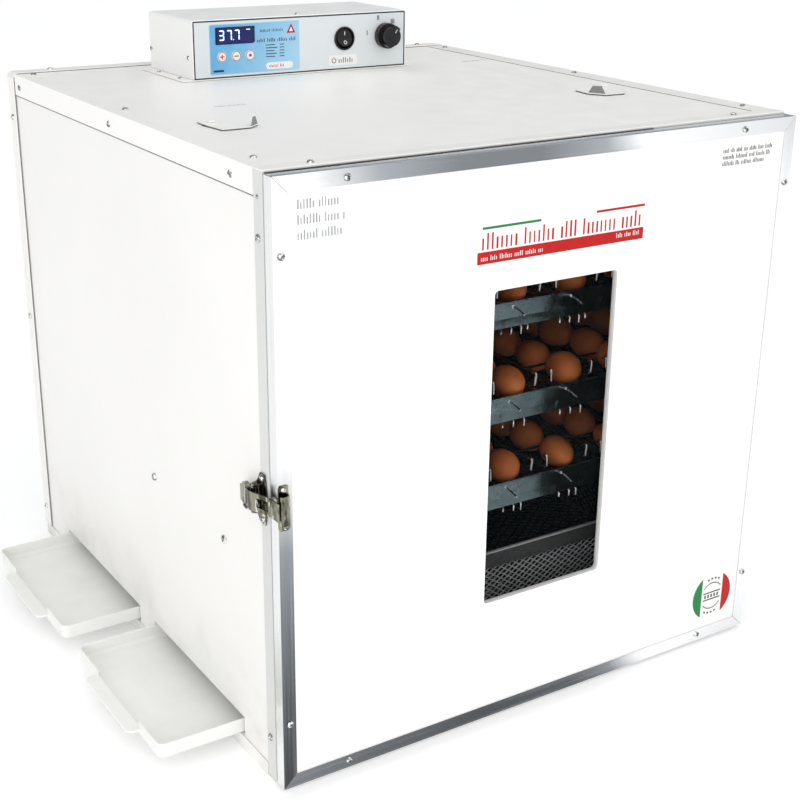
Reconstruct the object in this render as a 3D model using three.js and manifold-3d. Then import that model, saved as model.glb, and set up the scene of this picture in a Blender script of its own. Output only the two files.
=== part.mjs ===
// Cabinet egg incubator: insulated sheet-metal cabinet with a side-hinged glazed door, a toggle latch,
// egg trays with sliding wire dividers, a hatching basket, pull-out water trays, roof vents and a
// control box on the roof. Millimetres, +Z up, the door faces -Y, the origin is on the floor.
import * as THREE from "three";
import { mergeVertices } from "three/addons/utils/BufferGeometryUtils.js";
import Module from "manifold-3d";

const wasm = await Module();
wasm.setup();

// Cabinet
const HALF_WIDTH = 300; // side face of the cabinet
const FRONT_Y = -321; // front face of the cabinet, behind the door
const BACK_Y = 321; // rear face of the rear cover
const TOP_Z = 594; // roof
const WALL = 24; // thickness of the insulated panels
const TRIM = 16.5; // depth of the front frame
const BACK_WALL = 19.2; // thickness of the rear panel
const BASE_RIM_Z = 15.4; // upper edge of the base pan
const FLOOR_Z = 16; // top of the chamber's floor
const SHEET = 1; // folded steel sheet
const GAP = 0.3; // air between neighbouring pieces
const INNER_X = HALF_WIDTH - WALL;
const INNER_BACK_Y = BACK_Y - SHEET - GAP - BACK_WALL;
const CHAMBER_FRONT_Y = FRONT_Y + TRIM;

// Door
const DOOR_GAP = 2.5; // room for the seal
const DOOR_THICK = 14;
const DOOR_LOW_Z = 4;
const DOOR_HIGH_Z = 592;
const DOOR_BACK_Y = FRONT_Y - DOOR_GAP;
const DOOR_FRONT_Y = DOOR_BACK_Y - DOOR_THICK;
const PROFILE = 14; // face width of the aluminium edging
const PROFILE_SHEET = 1.2;
const WINDOW = [-71.5, 75.0, 137, 462]; // low x, high x, low z, high z
const HINGE_X = 304.5;
const HINGE_Y = -322.3;
const HINGE_R = 4;
const HINGE_LOW_Z = [80, 460]; // lower end of each hinge
const HINGE_LENGTH = 50;

// Toggle latch on the left side
const LEVER_X = -306;
const LEVER_Y = -303;
const HOOK_X = -309.5;
const HOOK_Y = -297.5;

// Egg trays, from the top down: height of each front rail's upper edge
const TRAY_TOP_Z = [428, 328.5, 234];
const TRAY_FLOOR_DROP = 10; // floor below the rail's upper edge
const TRAY_HALF_WIDTH = 272;
const TRAY_FRONT_Y = -281;
const TRAY_BACK_Y = 176;
const CELL_PITCH = 73;
const CELL_HALF = 26; // half the clear width between two divider wires
const CELLS = 7;
const WIRE = 2.2;
const UPRIGHT = 17; // divider wire end above the rail

// Hatching basket
const BASKET_RIM_Z = 160;
const BASKET_LOW_Z = 58;
const BASKET_HALF_WIDTH = 262;

// Water trays
const WATER_RIM_Z = 34;
const WATER_LOW_Z = 16.6;
const WATER_DRAFT = 3; // how far the lower edge of a tray is drawn in
const WATER_OUT_X = -389;
const WATER_IN_X = 90;
const WATER_LIP_X = -402;
const WATER_TRAYS = { front: [-250, -33], rear: [13, 236] };
const WATER_LIPS = { front: [-204, -86], rear: [62, 180] };

const TAB_HIGH = 10; // finger tab's top above the roof
const TAB_SLANT = 5.4; // how far each end of the tab leans in

// Roof vents: pivot, hole and outline of the shutter round its pivot, and the finger tab's two ends
const VENTS = {
  left: {
    pivot: [-242, -105],
    hole: [20, -13],
    outline: [[-11, 9], [-11, -15], [-8, -41], [21, -41], [34, -30], [38, -6], [24, 10]],
    tab: [[21.6, -40.4], [33.4, -30.4]],
  },
  right: {
    pivot: [242, -105],
    hole: [-25, -25],
    outline: [[10, 8], [-30, 8], [-47, -8], [-50, -31], [-39, -50], [-13, -51], [8, -20]],
    tab: [[-49.4, -31.5], [-38.8, -49.4]],
  },
};

// Control box on the roof
const BOX_X = [-143, 140];
const BOX_Y = [149.5, 269.5];
const BOX_TOP_Z = 661;
const BOX_LOW_Z = TOP_Z + 1.8;
const DISPLAY = [-113, -65, 634, 652];
const KEYS = { plus: -107, minus: -89, mode: -71.5 };
const KEY_Z = 619.5;
const KEY_R = 6;
const SWITCH = [53.7, 631.6];
const SWITCH_R = 13.8;
const ROCKER_DEPTH = 3; // pivot behind the panel's face
const ROCKER_TILT = 9.6; // each way from level
const KNOB = [110.5, 632.3];
const KNOB_R = 15;

// Egg turning drive
const LINK_X = 200;
const LINK_Y = 184.3;
const PINION_TEETH = 12;
const PINION_R = 12; // pitch radius
const RACK_PITCH_Z = 194; // pitch line of the rack
const RACK_HALF = 35;

// Fan and heater on the rear wall
const FAN_X = -40;
const FAN_Z = 330;
const FAN_R = 68;

const PAINTED = { color: 0xecebe7, roughness: 0.42, metalness: 0.0 };
const PANEL_WHITE = { color: 0xf6f5f2, roughness: 0.25, metalness: 0.0 };
const ALUMINIUM = { color: 0xc4c6c8, roughness: 0.28, metalness: 1.0 };
const GALVANISED = { color: 0x8f9a9e, roughness: 0.35, metalness: 1.0 };
const NICKEL = { color: 0x9b968a, roughness: 0.18, metalness: 1.0 };
const DARK_STEEL = { color: 0x3c3f41, roughness: 0.5, metalness: 1.0 };
const WHITE_PLASTIC = { color: 0xe9e8e0, roughness: 0.4, metalness: 0.0 };
const BLACK_PLASTIC = { color: 0x1b1b1d, roughness: 0.45, metalness: 0.0 };
const BLACK_RUBBER = { color: 0x161616, roughness: 0.8, metalness: 0.0 };
const GREY_RUBBER = { color: 0xb4b4b0, roughness: 0.7, metalness: 0.0 };
const GLASS = { color: 0xbfd0d4, roughness: 0.03, metalness: 0.0, transparent: true, opacity: 0.3 };
const BOARD_GREEN = { color: 0x2f5a3c, roughness: 0.5, metalness: 0.0 };
const SCREEN_BLUE = { color: 0x10186a, roughness: 0.2, metalness: 0.0 };
const BOX_GREY = { color: 0xe4e8ec, roughness: 0.4, metalness: 0.0 };

const group = new THREE.Group();
group.name = "egg_incubator";

// A three.js geometry as a manifold-3d solid.
function solid(geometry) {
  const bare = geometry.clone();
  bare.deleteAttribute("normal");
  bare.deleteAttribute("uv");
  const merged = mergeVertices(bare, 1e-4);
  const mesh = new wasm.Mesh({
    numProp: 3,
    vertProperties: new Float32Array(merged.attributes.position.array),
    triVerts: new Uint32Array(merged.index.array),
  });
  return new wasm.Manifold(mesh);
}

function join(...parts) {
  return parts.flat().reduce((sum, part) => sum.add(part));
}

function cut(body, ...tools) {
  return tools.flat().reduce((rest, tool) => rest.subtract(tool), body);
}

function place(name, body, look) {
  const mesh = body.getMesh();
  const stride = mesh.numProp;
  const points = new Float32Array(mesh.numVert * 3);
  for (let i = 0; i < mesh.numVert; i += 1) {
    points.set(mesh.vertProperties.subarray(i * stride, i * stride + 3), i * 3);
  }
  const indexed = new THREE.BufferGeometry();
  indexed.setAttribute("position", new THREE.BufferAttribute(points, 3));
  indexed.setIndex(new THREE.BufferAttribute(new Uint32Array(mesh.triVerts), 1));
  const flat = indexed.toNonIndexed();
  flat.computeVertexNormals();
  const node = new THREE.Mesh(flat, new THREE.MeshStandardMaterial(look));
  node.name = name;
  group.add(node);
  return node;
}

function box(x0, x1, y0, y1, z0, z1) {
  const shape = new THREE.BoxGeometry(x1 - x0, y1 - y0, z1 - z0);
  shape.translate((x0 + x1) / 2, (y0 + y1) / 2, (z0 + z1) / 2);
  return solid(shape);
}

function outlineOf(points) {
  return new THREE.Shape(points.map(([a, b]) => new THREE.Vector2(a, b)));
}

// A flat outline pushed along one axis: "x" reads its points as (y, z), "y" as (x, z), "z" as (x, y).
function prism(points, axis, from, to) {
  const shape = new THREE.ExtrudeGeometry(outlineOf(points), {
    depth: to - from,
    bevelEnabled: false,
  });
  const turn = new THREE.Matrix4();
  const X = new THREE.Vector3(1, 0, 0);
  const Y = new THREE.Vector3(0, 1, 0);
  const Z = new THREE.Vector3(0, 0, 1);
  if (axis === "x") turn.makeBasis(Y, Z, X).setPosition(from, 0, 0);
  if (axis === "y") turn.makeBasis(X, Z, Y.clone().negate()).setPosition(0, to, 0);
  if (axis === "z") turn.setPosition(0, 0, from);
  shape.applyMatrix4(turn);
  return solid(shape);
}

function rounded(a0, a1, b0, b1, r, steps = 3) {
  const corners = [[a1 - r, b0 + r, -90], [a1 - r, b1 - r, 0], [a0 + r, b1 - r, 90], [a0 + r, b0 + r, 180]];
  return corners.flatMap(([a, b, start]) =>
    Array.from({ length: steps + 1 }, (_, i) => {
      const angle = THREE.MathUtils.degToRad(start + (90 * i) / steps);
      return [a + r * Math.cos(angle), b + r * Math.sin(angle)];
    }),
  );
}

function circle(a, b, r, steps = 16) {
  return Array.from({ length: steps }, (_, i) => {
    const angle = (2 * Math.PI * i) / steps;
    return [a + r * Math.cos(angle), b + r * Math.sin(angle)];
  });
}

// A strip of constant thickness along a bent line, as a closed outline.
function strip(line, thickness) {
  const half = thickness / 2;
  const sides = line.map(([a, b], i) => {
    const before = line[Math.max(i - 1, 0)];
    const after = line[Math.min(i + 1, line.length - 1)];
    const first = new THREE.Vector2(a - before[0], b - before[1]);
    const second = new THREE.Vector2(after[0] - a, after[1] - b);
    if (i === 0) first.copy(second);
    if (i === line.length - 1) second.copy(first);
    first.normalize();
    second.normalize();
    const along = first.clone().add(second).normalize();
    const reach = half / Math.max(along.dot(first), 0.4);
    return [
      [a - along.y * reach, b + along.x * reach],
      [a + along.y * reach, b - along.x * reach],
    ];
  });
  const left = sides.map((side) => side[0]);
  const right = sides.map((side) => side[1]).reverse();
  return right.concat(left);
}

function cylinder(axis, a, b, r, from, to, steps = 16) {
  return prism(circle(a, b, r, steps), axis, from, to);
}

// ---------------------------------------------------------------- cabinet shell

function basePan() {
  const plate = prism(rounded(-300.4, 300.4, FRONT_Y, BACK_Y, 1.5, 2), "z", 0, 3);
  const left = box(-300.4, -299.4, CHAMBER_FRONT_Y + GAP, BACK_Y - 2, 2.5, BASE_RIM_Z);
  const right = box(299.4, 300.4, CHAMBER_FRONT_Y + GAP, BACK_Y - 2, 2.5, BASE_RIM_Z);
  const corners = rounded(-300.4, 300.4, 200, BACK_Y, 1.5, 2);
  const inside = rounded(-299.4, 299.4, 190, BACK_Y - SHEET, 0.3, 1);
  const band = cut(prism(corners, "z", 2.5, BASE_RIM_Z), prism(inside, "z", 0, 30));
  const rear = cut(band, box(-310, 310, 150, BACK_Y - 4, 0, 30));
  return join(plate, left, right, rear);
}

function floorPanel() {
  const x = INNER_X - GAP;
  return box(-x, x, CHAMBER_FRONT_Y + GAP, INNER_BACK_Y - GAP, 3.3, FLOOR_Z);
}

function slotTool(y0, y1, z1) {
  return box(-320, -250, y0 - 3, y1 + 2.5, WATER_LOW_Z - 0.5, z1);
}

function leftPanel() {
  const panel = box(-299.1, -INNER_X, CHAMBER_FRONT_Y + GAP, INNER_BACK_Y - GAP, 3.3, TOP_Z - WALL - GAP);
  const slots = Object.values(WATER_TRAYS).map(([y0, y1]) => slotTool(y0, y1, WATER_RIM_Z + 3.2));
  return cut(panel, slots);
}

function rightPanel() {
  const panel = box(INNER_X, 299.1, CHAMBER_FRONT_Y + GAP, INNER_BACK_Y - GAP, 3.3, TOP_Z + 0.2);
  const fold = box(272.3, 299.8, CHAMBER_FRONT_Y + GAP, INNER_BACK_Y - GAP, TOP_Z - 0.7, TOP_Z + 0.3);
  return join(panel, fold);
}

function topPanel() {
  const slab = box(-HALF_WIDTH, 272, CHAMBER_FRONT_Y + GAP, INNER_BACK_Y - GAP, TOP_Z - WALL, TOP_Z);
  const ledge = box(271, INNER_X - GAP, CHAMBER_FRONT_Y + GAP, INNER_BACK_Y - GAP, TOP_Z - WALL, TOP_Z - 1);
  const vents = Object.values(VENTS);
  const holes = vents.map(({ pivot, hole }) =>
    cylinder("z", pivot[0] + hole[0], pivot[1] + hole[1], 15, TOP_Z - WALL - 5, TOP_Z + 5),
  );
  const rivets = vents.map(({ pivot }) =>
    join(
      cylinder("z", pivot[0], pivot[1], 2, TOP_Z - 4, TOP_Z + 3, 12),
      cylinder("z", pivot[0], pivot[1], 4, TOP_Z + 2.1, TOP_Z + 3.8, 12),
    ),
  );
  return join(cut(join(slab, ledge), holes), rivets);
}

function backPanel() {
  return prism(rounded(-299, 299, 3.3, TOP_Z, 5.5, 2), "y", INNER_BACK_Y, BACK_Y - SHEET - GAP);
}

// Folded cover round the rear panel: its flange laps the left side, the roof and the right side.
function rearCover() {
  const outer = rounded(-301.6, 301.6, BASE_RIM_Z + GAP - 20, TOP_Z + 1.6, 6);
  const inner = rounded(-300.6, 300.6, BASE_RIM_Z + GAP - 22, TOP_Z + 0.6, 5);
  const shell = prism(outer, "y", BACK_Y - 20.5, BACK_Y);
  const hollow = prism(inner, "y", BACK_Y - 21, BACK_Y - SHEET);
  const below = box(-310, 310, BACK_Y - 25, BACK_Y + 5, -30, BASE_RIM_Z + GAP);
  return cut(shell, hollow, below);
}

function frontFrame() {
  const outer = box(-HALF_WIDTH, HALF_WIDTH, FRONT_Y, CHAMBER_FRONT_Y, 3.3, TOP_Z + 0.6);
  const mouth = prism(rounded(-264, 264, 20, 566, 4, 2), "y", FRONT_Y - 5, CHAMBER_FRONT_Y + 5);
  return cut(outer, mouth);
}

place("base_pan", basePan(), PAINTED);
place("floor_panel", floorPanel(), PAINTED);
place("left_panel", leftPanel(), PAINTED);
place("right_panel", rightPanel(), PAINTED);
place("top_panel", topPanel(), PAINTED);
place("back_panel", backPanel(), PAINTED);
place("rear_cover", rearCover(), PAINTED);
place("front_frame", frontFrame(), PAINTED);

// ---------------------------------------------------------------- racks, egg trays, basket

function rack(side) {
  const a = side * (INNER_X - GAP);
  const b = side * (INNER_X - GAP - 1.5);
  const c = side * 248;
  const span = (p, q, y0, y1, z0, z1) => box(Math.min(p, q), Math.max(p, q), y0, y1, z0, z1);
  const posts = [-276, 140].map((y) => span(a, b, y, y + 24, 42, 500));
  const levels = TRAY_TOP_Z.map((z) => z - TRAY_FLOOR_DROP - 1 - GAP).concat(BASKET_LOW_Z - GAP);
  const runners = levels.map((z) =>
    join(
      span(a, c, -276, 172, z - 1.5, z),
      span(a, b, -276, 172, z - 1.5, z + 9),
    ),
  );
  return join(posts, runners);
}

function eggTray(top) {
  const floorZ = top - TRAY_FLOOR_DROP;
  const w = TRAY_HALF_WIDTH;
  const floor = box(-w, w, TRAY_FRONT_Y, TRAY_BACK_Y, floorZ - 1, floorZ);
  const slots = [];
  for (let cell = -3; cell <= 3; cell += 1) {
    for (const shift of [-24, 0, 24]) {
      const x = cell * CELL_PITCH + shift;
      slots.push(box(x - 6, x + 6, TRAY_FRONT_Y + 20, TRAY_BACK_Y - 20, floorZ - 5, floorZ + 5));
    }
  }
  const wall = 1.2;
  const left = box(-w, -w + wall, TRAY_FRONT_Y, TRAY_BACK_Y, floorZ - 1, top);
  const right = box(w - wall, w, TRAY_FRONT_Y, TRAY_BACK_Y, floorZ - 1, top);
  const rear = box(-w, w, TRAY_BACK_Y - wall, TRAY_BACK_Y, floorZ - 1, top);
  const face = TRAY_FRONT_Y + 0.6;
  const railLine = [[face, top], [face, top - 16.5], [face - 5.1, top - 24]];
  const rail = prism(strip(railLine, wall), "x", -w, w);
  return join(cut(floor, slots), left, right, rear, rail);
}

function dividerGrid(top) {
  const half = WIRE / 2;
  const low = top + 1.4;
  const front = TRAY_FRONT_Y + 2;
  const wires = [];
  for (let cell = -3; cell <= 3; cell += 1) {
    for (const side of [-1, 1]) {
      const x = cell * CELL_PITCH + side * CELL_HALF;
      const bent = [
        [front, low], [171.5, low], [171.5, low + WIRE], [front + WIRE, low + WIRE],
        [front + WIRE, top + UPRIGHT], [front, top + UPRIGHT],
      ];
      wires.push(prism(bent, "x", x - half, x + half));
    }
  }
  const reach = 3 * CELL_PITCH + CELL_HALF + half;
  const bars = [-231, 169].map((y) => box(-reach, reach, y, y + 2.4, low + 1.6, low + 4));
  const arm = box(LINK_X - 5, LINK_X + 5, 169.5, LINK_Y - GAP, low + 1.6, low + 4);
  const foot = box(LINK_X - 5, LINK_X + 5, LINK_Y - GAP - 1.5, LINK_Y - GAP, low + 1.6, low + 18);
  return join(wires, bars, arm, foot);
}

function basket() {
  const w = BASKET_HALF_WIDTH;
  const outer = box(-w, w, TRAY_FRONT_Y, TRAY_BACK_Y, BASKET_LOW_Z, BASKET_RIM_Z);
  const wall = 1.4;
  const inner = box(-w + wall, w - wall, TRAY_FRONT_Y + wall, TRAY_BACK_Y - wall, BASKET_LOW_Z + wall, 300);
  const windows = [];
  for (let i = -5; i <= 5; i += 1) {
    windows.push(box(i * 45 - 19, i * 45 + 19, -400, 400, BASKET_LOW_Z + 10, BASKET_RIM_Z - 20));
  }
  const edge = rounded(-w - 4, w + 4, TRAY_FRONT_Y - 3, TRAY_BACK_Y + 4, 6, 2);
  const rim = prism(edge, "z", BASKET_RIM_Z - 1.2, BASKET_RIM_Z);
  const rimHole = box(-w + wall, w - wall, TRAY_FRONT_Y + wall, TRAY_BACK_Y - wall, 100, 300);
  return cut(join(cut(outer, inner, windows), rim), rimHole);
}

place("rack_left", rack(-1), GALVANISED);
place("rack_right", rack(1), GALVANISED);
TRAY_TOP_Z.forEach((top, i) => place("egg_tray_" + (i + 1), eggTray(top), GALVANISED));
TRAY_TOP_Z.forEach((top, i) => place("divider_grid_" + (i + 1), dividerGrid(top), GALVANISED));
place("hatching_basket", basket(), DARK_STEEL);

// ---------------------------------------------------------------- egg turning drive

// Upright link between the three divider grids, with a toothed rack along its foot.
function turnLink() {
  const pitch = (2 * Math.PI * PINION_R) / PINION_TEETH;
  const upright = box(LINK_X - 6, LINK_X + 6, LINK_Y, LINK_Y + 2.5, 200, TRAY_TOP_Z[0] + 18);
  const bar = box(LINK_X - RACK_HALF, LINK_X + RACK_HALF, LINK_Y, LINK_Y + 6, RACK_PITCH_Z + 2.6, 206);
  const teeth = [];
  for (let i = -5; i <= 5; i += 1) {
    const x = LINK_X + i * pitch;
    const [root, tip] = [RACK_PITCH_Z + 2.8, RACK_PITCH_Z - 1.7];
    const tooth = [[x - 2.1, root], [x - 0.75, tip], [x + 0.75, tip], [x + 2.1, root]];
    teeth.push(prism(tooth, "y", LINK_Y, LINK_Y + 6));
  }
  return join(upright, bar, teeth);
}

function turnPinion() {
  const points = [];
  const step = (2 * Math.PI) / PINION_TEETH;
  const flank = [[-0.175, 9.4], [-0.13, 11.6], [-0.055, 13.7], [0.055, 13.7], [0.13, 11.6], [0.175, 9.4]];
  const centreZ = RACK_PITCH_Z - PINION_R;
  for (let i = 0; i < PINION_TEETH; i += 1) {
    const middle = Math.PI / 2 + step / 2 + i * step;
    for (const [offset, r] of flank) {
      points.push([LINK_X + r * Math.cos(middle + offset), centreZ + r * Math.sin(middle + offset)]);
    }
  }
  const gear = prism(points, "y", LINK_Y, LINK_Y + 6);
  const shaft = cylinder("y", LINK_X, centreZ, 3, LINK_Y + 5, 257.5, 12);
  return join(gear, shaft);
}

function turnMotor() {
  const z = RACK_PITCH_Z - PINION_R;
  const can = cylinder("y", LINK_X, z, 24, 258, 288, 20);
  const plate = rounded(LINK_X - 34, LINK_X + 34, z - 30, z + 30, 5, 2);
  const bracket = prism(plate, "y", 287.5, INNER_BACK_Y - GAP);
  return join(can, bracket);
}

place("turn_link", turnLink(), GALVANISED);
place("turn_pinion", turnPinion(), WHITE_PLASTIC);
place("turn_motor", turnMotor(), DARK_STEEL);

// ---------------------------------------------------------------- fan, heater, probe

function fanMotor() {
  const can = cylinder("y", FAN_X, FAN_Z, 26, 262, 292, 20);
  const plate = cylinder("y", FAN_X, FAN_Z, 38, 291.5, INNER_BACK_Y - GAP, 20);
  return join(can, plate);
}

function fanBlade() {
  const hub = cylinder("y", FAN_X, FAN_Z, 16, 240, 261, 16);
  const blades = [0, 1, 2, 3, 4].map((i) => {
    const blade = new THREE.BoxGeometry(34, 1.6, FAN_R - 12);
    blade.rotateZ(0.5);
    blade.translate(0, 250, (FAN_R + 12) / 2);
    blade.translate(0, -250, 0);
    blade.rotateY((i * 2 * Math.PI) / 5);
    blade.translate(FAN_X, 250, FAN_Z);
    return solid(blade);
  });
  return join(hub, blades);
}

function ringRod(axis, a, b, r, section, from) {
  const outer = cylinder(axis, a, b, r + section / 2, from, from + section, 24);
  const inner = cylinder(axis, a, b, r - section / 2, from - 1, from + section + 1, 24);
  return cut(outer, inner);
}

function fanGuard() {
  const y = 222;
  const rings = [42, 80].map((r) => ringRod("y", FAN_X, FAN_Z, r, 2.4, y));
  const cross = [
    box(FAN_X - 100, FAN_X + 100, y + 0.4, y + 2, FAN_Z - 3, FAN_Z + 3),
    box(FAN_X - 3, FAN_X + 3, y + 0.4, y + 2, FAN_Z - 100, FAN_Z + 100),
  ];
  const legs = [[-100, 0], [100, 0], [0, -100], [0, 100]].map(([dx, dz]) =>
    box(FAN_X + dx - 3, FAN_X + dx + 3, y + 0.4, INNER_BACK_Y - GAP, FAN_Z + dz - 3, FAN_Z + dz + 3),
  );
  return join(rings, cross, legs);
}

function heater() {
  const y = 248;
  const loop = ringRod("y", FAN_X, FAN_Z, 91, 6.4, y);
  const ends = [-14, 14].map((dx) =>
    join(
      box(FAN_X + dx - 3.2, FAN_X + dx + 3.2, y, INNER_BACK_Y - GAP, FAN_Z - 126, FAN_Z - 119.6),
      box(FAN_X + dx - 3.2, FAN_X + dx + 3.2, y, y + 6.4, FAN_Z - 126, FAN_Z - 88),
    ),
  );
  const opening = box(FAN_X - 10, FAN_X + 10, y - 5, y + 12, FAN_Z - 100, FAN_Z - 80);
  return cut(join(loop, ends), opening);
}

function probe() {
  const stem = cylinder("z", -150, 200, 3, 470, TOP_Z - WALL - GAP, 12);
  const collar = cylinder("z", -150, 200, 8, TOP_Z - WALL - GAP - 6, TOP_Z - WALL - GAP, 12);
  return join(stem, collar);
}

place("fan_motor", fanMotor(), DARK_STEEL);
place("fan_blade", fanBlade(), BLACK_PLASTIC);
place("fan_guard", fanGuard(), DARK_STEEL);
place("heater_element", heater(), DARK_STEEL);
place("temp_probe", probe(), NICKEL);

// ---------------------------------------------------------------- water trays

// A block with rounded corners whose lower edge is drawn in, as on a moulded tray.
function dish(x0, x1, y0, y1, r, low, rim) {
  const d = WATER_DRAFT;
  const foot = prism(rounded(x0 + d, x1 - d, y0 + d, y1 - d, r - d, 3), "z", low, low + 0.1);
  const wall = prism(rounded(x0, x1, y0, y1, r, 3), "z", low + d, rim);
  return wasm.Manifold.hull([foot, wall]);
}

function waterTray(key) {
  const [y0, y1] = WATER_TRAYS[key];
  const [lip0, lip1] = WATER_LIPS[key];
  const wall = 1.8;
  const shell = dish(WATER_OUT_X, WATER_IN_X, y0, y1, 8, WATER_LOW_Z, WATER_RIM_Z);
  const [x0, x1] = [WATER_OUT_X + wall, WATER_IN_X - wall];
  const hollow = dish(x0, x1, y0 + wall, y1 - wall, 6.2, WATER_LOW_Z + wall, WATER_RIM_Z + 5);
  const notch = box(WATER_OUT_X - 5, WATER_OUT_X + 6, lip0 + 4, lip1 - 4, 27, WATER_RIM_Z + 5);
  const lip = prism(rounded(WATER_LIP_X, WATER_OUT_X + 14, lip0, lip1, 7, 3), "z", 24.6, 27);
  const lipHollow = box(WATER_OUT_X + wall, 0, y0, y1, 20, 60);
  return join(cut(shell, hollow, notch), cut(lip, lipHollow));
}

place("water_tray_front", waterTray("front"), WHITE_PLASTIC);
place("water_tray_rear", waterTray("rear"), WHITE_PLASTIC);

// ---------------------------------------------------------------- roof vents

function ventShutter({ pivot, outline, tab }) {
  const at = ([a, b]) => [pivot[0] + a, pivot[1] + b];
  const plate = prism(outline.map(at), "z", TOP_Z + 0.6, TOP_Z + 1.8);
  const pin = cylinder("z", pivot[0], pivot[1], 2.15, TOP_Z - 5, TOP_Z + 9, 12);
  const [p, q] = tab.map(at);
  const length = Math.hypot(q[0] - p[0], q[1] - p[1]);
  const side = [[0, 1.2], [length, 1.2], [length - TAB_SLANT, TAB_HIGH], [TAB_SLANT, TAB_HIGH]];
  const turn = new THREE.Matrix4().makeRotationZ(Math.atan2(q[1] - p[1], q[0] - p[0]));
  turn.setPosition(p[0], p[1], TOP_Z);
  const finger = prism(side, "y", -0.6, 0.6).transform(Array.from(turn.elements));
  return join(cut(plate, pin), finger);
}

place("vent_shutter_left", ventShutter(VENTS.left), PAINTED);
place("vent_shutter_right", ventShutter(VENTS.right), PAINTED);

// ---------------------------------------------------------------- door

// One mitred side of the edging: a channel open towards the door's middle.
function channel(face) {
  const [f, b, s] = [DOOR_FRONT_Y, DOOR_BACK_Y, PROFILE_SHEET];
  const section = [
    [0, f], [PROFILE, f], [PROFILE, f + s], [s, f + s],
    [s, b - s], [PROFILE, b - s], [PROFILE, b], [0, b],
  ];
  const [x0, x1, z0, z1] = [-HALF_WIDTH, HALF_WIDTH, DOOR_LOW_Z, DOOR_HIGH_Z];
  const at = (depth, y) => {
    if (face === "left") return [x0 + depth, y];
    if (face === "right") return [x1 - depth, y];
    if (face === "bottom") return [y, z0 + depth];
    return [y, z1 - depth];
  };
  let outline = section.map(([depth, y]) => at(depth, y));
  if (face === "right" || face === "bottom") outline = outline.reverse();
  const upright = face === "left" || face === "right";
  const bar = upright ? prism(outline, "z", z0, z1) : prism(outline, "x", x0, x1);
  const d = PROFILE + 6;
  const g = 0.15;
  const wedge = {
    left: [[x0, z0 + g], [x0 + d, z0 + d + g], [x0 + d, z1 - d - g], [x0, z1 - g]],
    right: [[x1, z0 + g], [x1, z1 - g], [x1 - d, z1 - d - g], [x1 - d, z0 + d + g]],
    bottom: [[x0 + g, z0], [x1 - g, z0], [x1 - d - g, z0 + d], [x0 + d + g, z0 + d]],
    top: [[x0 + g, z1], [x0 + d + g, z1 - d], [x1 - d - g, z1 - d], [x1 - g, z1]],
  }[face];
  return bar.intersect(prism(wedge, "y", DOOR_FRONT_Y - 5, DOOR_BACK_Y + 5));
}

function windowTool(grow, y0, y1) {
  const [x0, x1, z0, z1] = WINDOW;
  return prism(rounded(x0 - grow, x1 + grow, z0 - grow, z1 + grow, 4), "y", y0, y1);
}

const EDGE = PROFILE_SHEET + 0.2;
const PANEL_Y = [DOOR_FRONT_Y + EDGE, DOOR_FRONT_Y + EDGE + 3.4];
const LINER_Y = [PANEL_Y[1] + 0.2, DOOR_BACK_Y - EDGE];

function doorBoard([y0, y1], windowGrow) {
  const [x, z0, z1] = [HALF_WIDTH - EDGE, DOOR_LOW_Z + EDGE, DOOR_HIGH_Z - EDGE];
  return cut(box(-x, x, y0, y1, z0, z1), windowTool(windowGrow, y0 - 5, y1 + 5));
}

function windowSeal() {
  const [y0, y1] = LINER_Y;
  const ring = cut(windowTool(5.7, y0 + 0.1, y1), windowTool(0, y0 - 5, y1 + 5));
  return cut(ring, windowTool(4.3, y0 + 3.2, y1 + 5));
}

function doorSeal() {
  const outer = prism(rounded(-296, 296, 8, 588, 5, 2), "y", DOOR_BACK_Y + 0.1, FRONT_Y - 0.4);
  const inner = prism(rounded(-286, 286, 18, 578, 3, 2), "y", DOOR_BACK_Y - 5, FRONT_Y + 5);
  return cut(outer, inner);
}

for (const face of ["left", "right", "top", "bottom"]) {
  place("door_edge_" + face, channel(face), ALUMINIUM);
}
place("door_panel", doorBoard(PANEL_Y, 0), PANEL_WHITE);
place("door_liner", doorBoard(LINER_Y, 6), PANEL_WHITE);
place("window_seal", windowSeal(), GREY_RUBBER);
place("window_glass", windowTool(4, LINER_Y[0] + 3.5, LINER_Y[1] - 0.6), GLASS);
place("door_seal", doorSeal(), BLACK_RUBBER);

// ---------------------------------------------------------------- hinges

function knuckle(z0, z1, bore) {
  const barrel = cylinder("z", HINGE_X, HINGE_Y, HINGE_R, z0, z1, 14);
  if (!bore) return barrel;
  return cut(barrel, cylinder("z", HINGE_X, HINGE_Y, bore, z0 - 1, z1 + 1, 14));
}

function cabinetLeaf(z) {
  const [a, b] = [z + 15, z + HINGE_LENGTH - 15];
  const [x0, x1] = [HALF_WIDTH + 0.4, HALF_WIDTH + 1.9];
  const plate = box(x0, x1, -318, -300, z, z + HINGE_LENGTH);
  const tabs = [[z, a], [b, z + HINGE_LENGTH]].map(([z0, z1]) =>
    join(box(x0, x1 + 0.4, HINGE_Y + 0.4, -317.5, z0, z1), knuckle(z0, z1)),
  );
  const pin = cylinder("z", HINGE_X, HINGE_Y, 2, z - 2, z + HINGE_LENGTH + 2, 14);
  return join(plate, tabs, pin);
}

function doorLeaf(z) {
  const [a, b] = [z + 15 + GAP, z + HINGE_LENGTH - 15 - GAP];
  const [x0, x1] = [HALF_WIDTH + 0.4, HALF_WIDTH + 1.9];
  const plate = box(x0, x1, DOOR_FRONT_Y + 2, -326.6, z, z + HINGE_LENGTH);
  const tab = cut(
    join(box(x0, x1 + 0.4, -327, HINGE_Y - 0.4, a, b), knuckle(a, b)),
    cylinder("z", HINGE_X, HINGE_Y, 2.1, a - 1, b + 1, 14),
  );
  return join(plate, tab);
}

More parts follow.
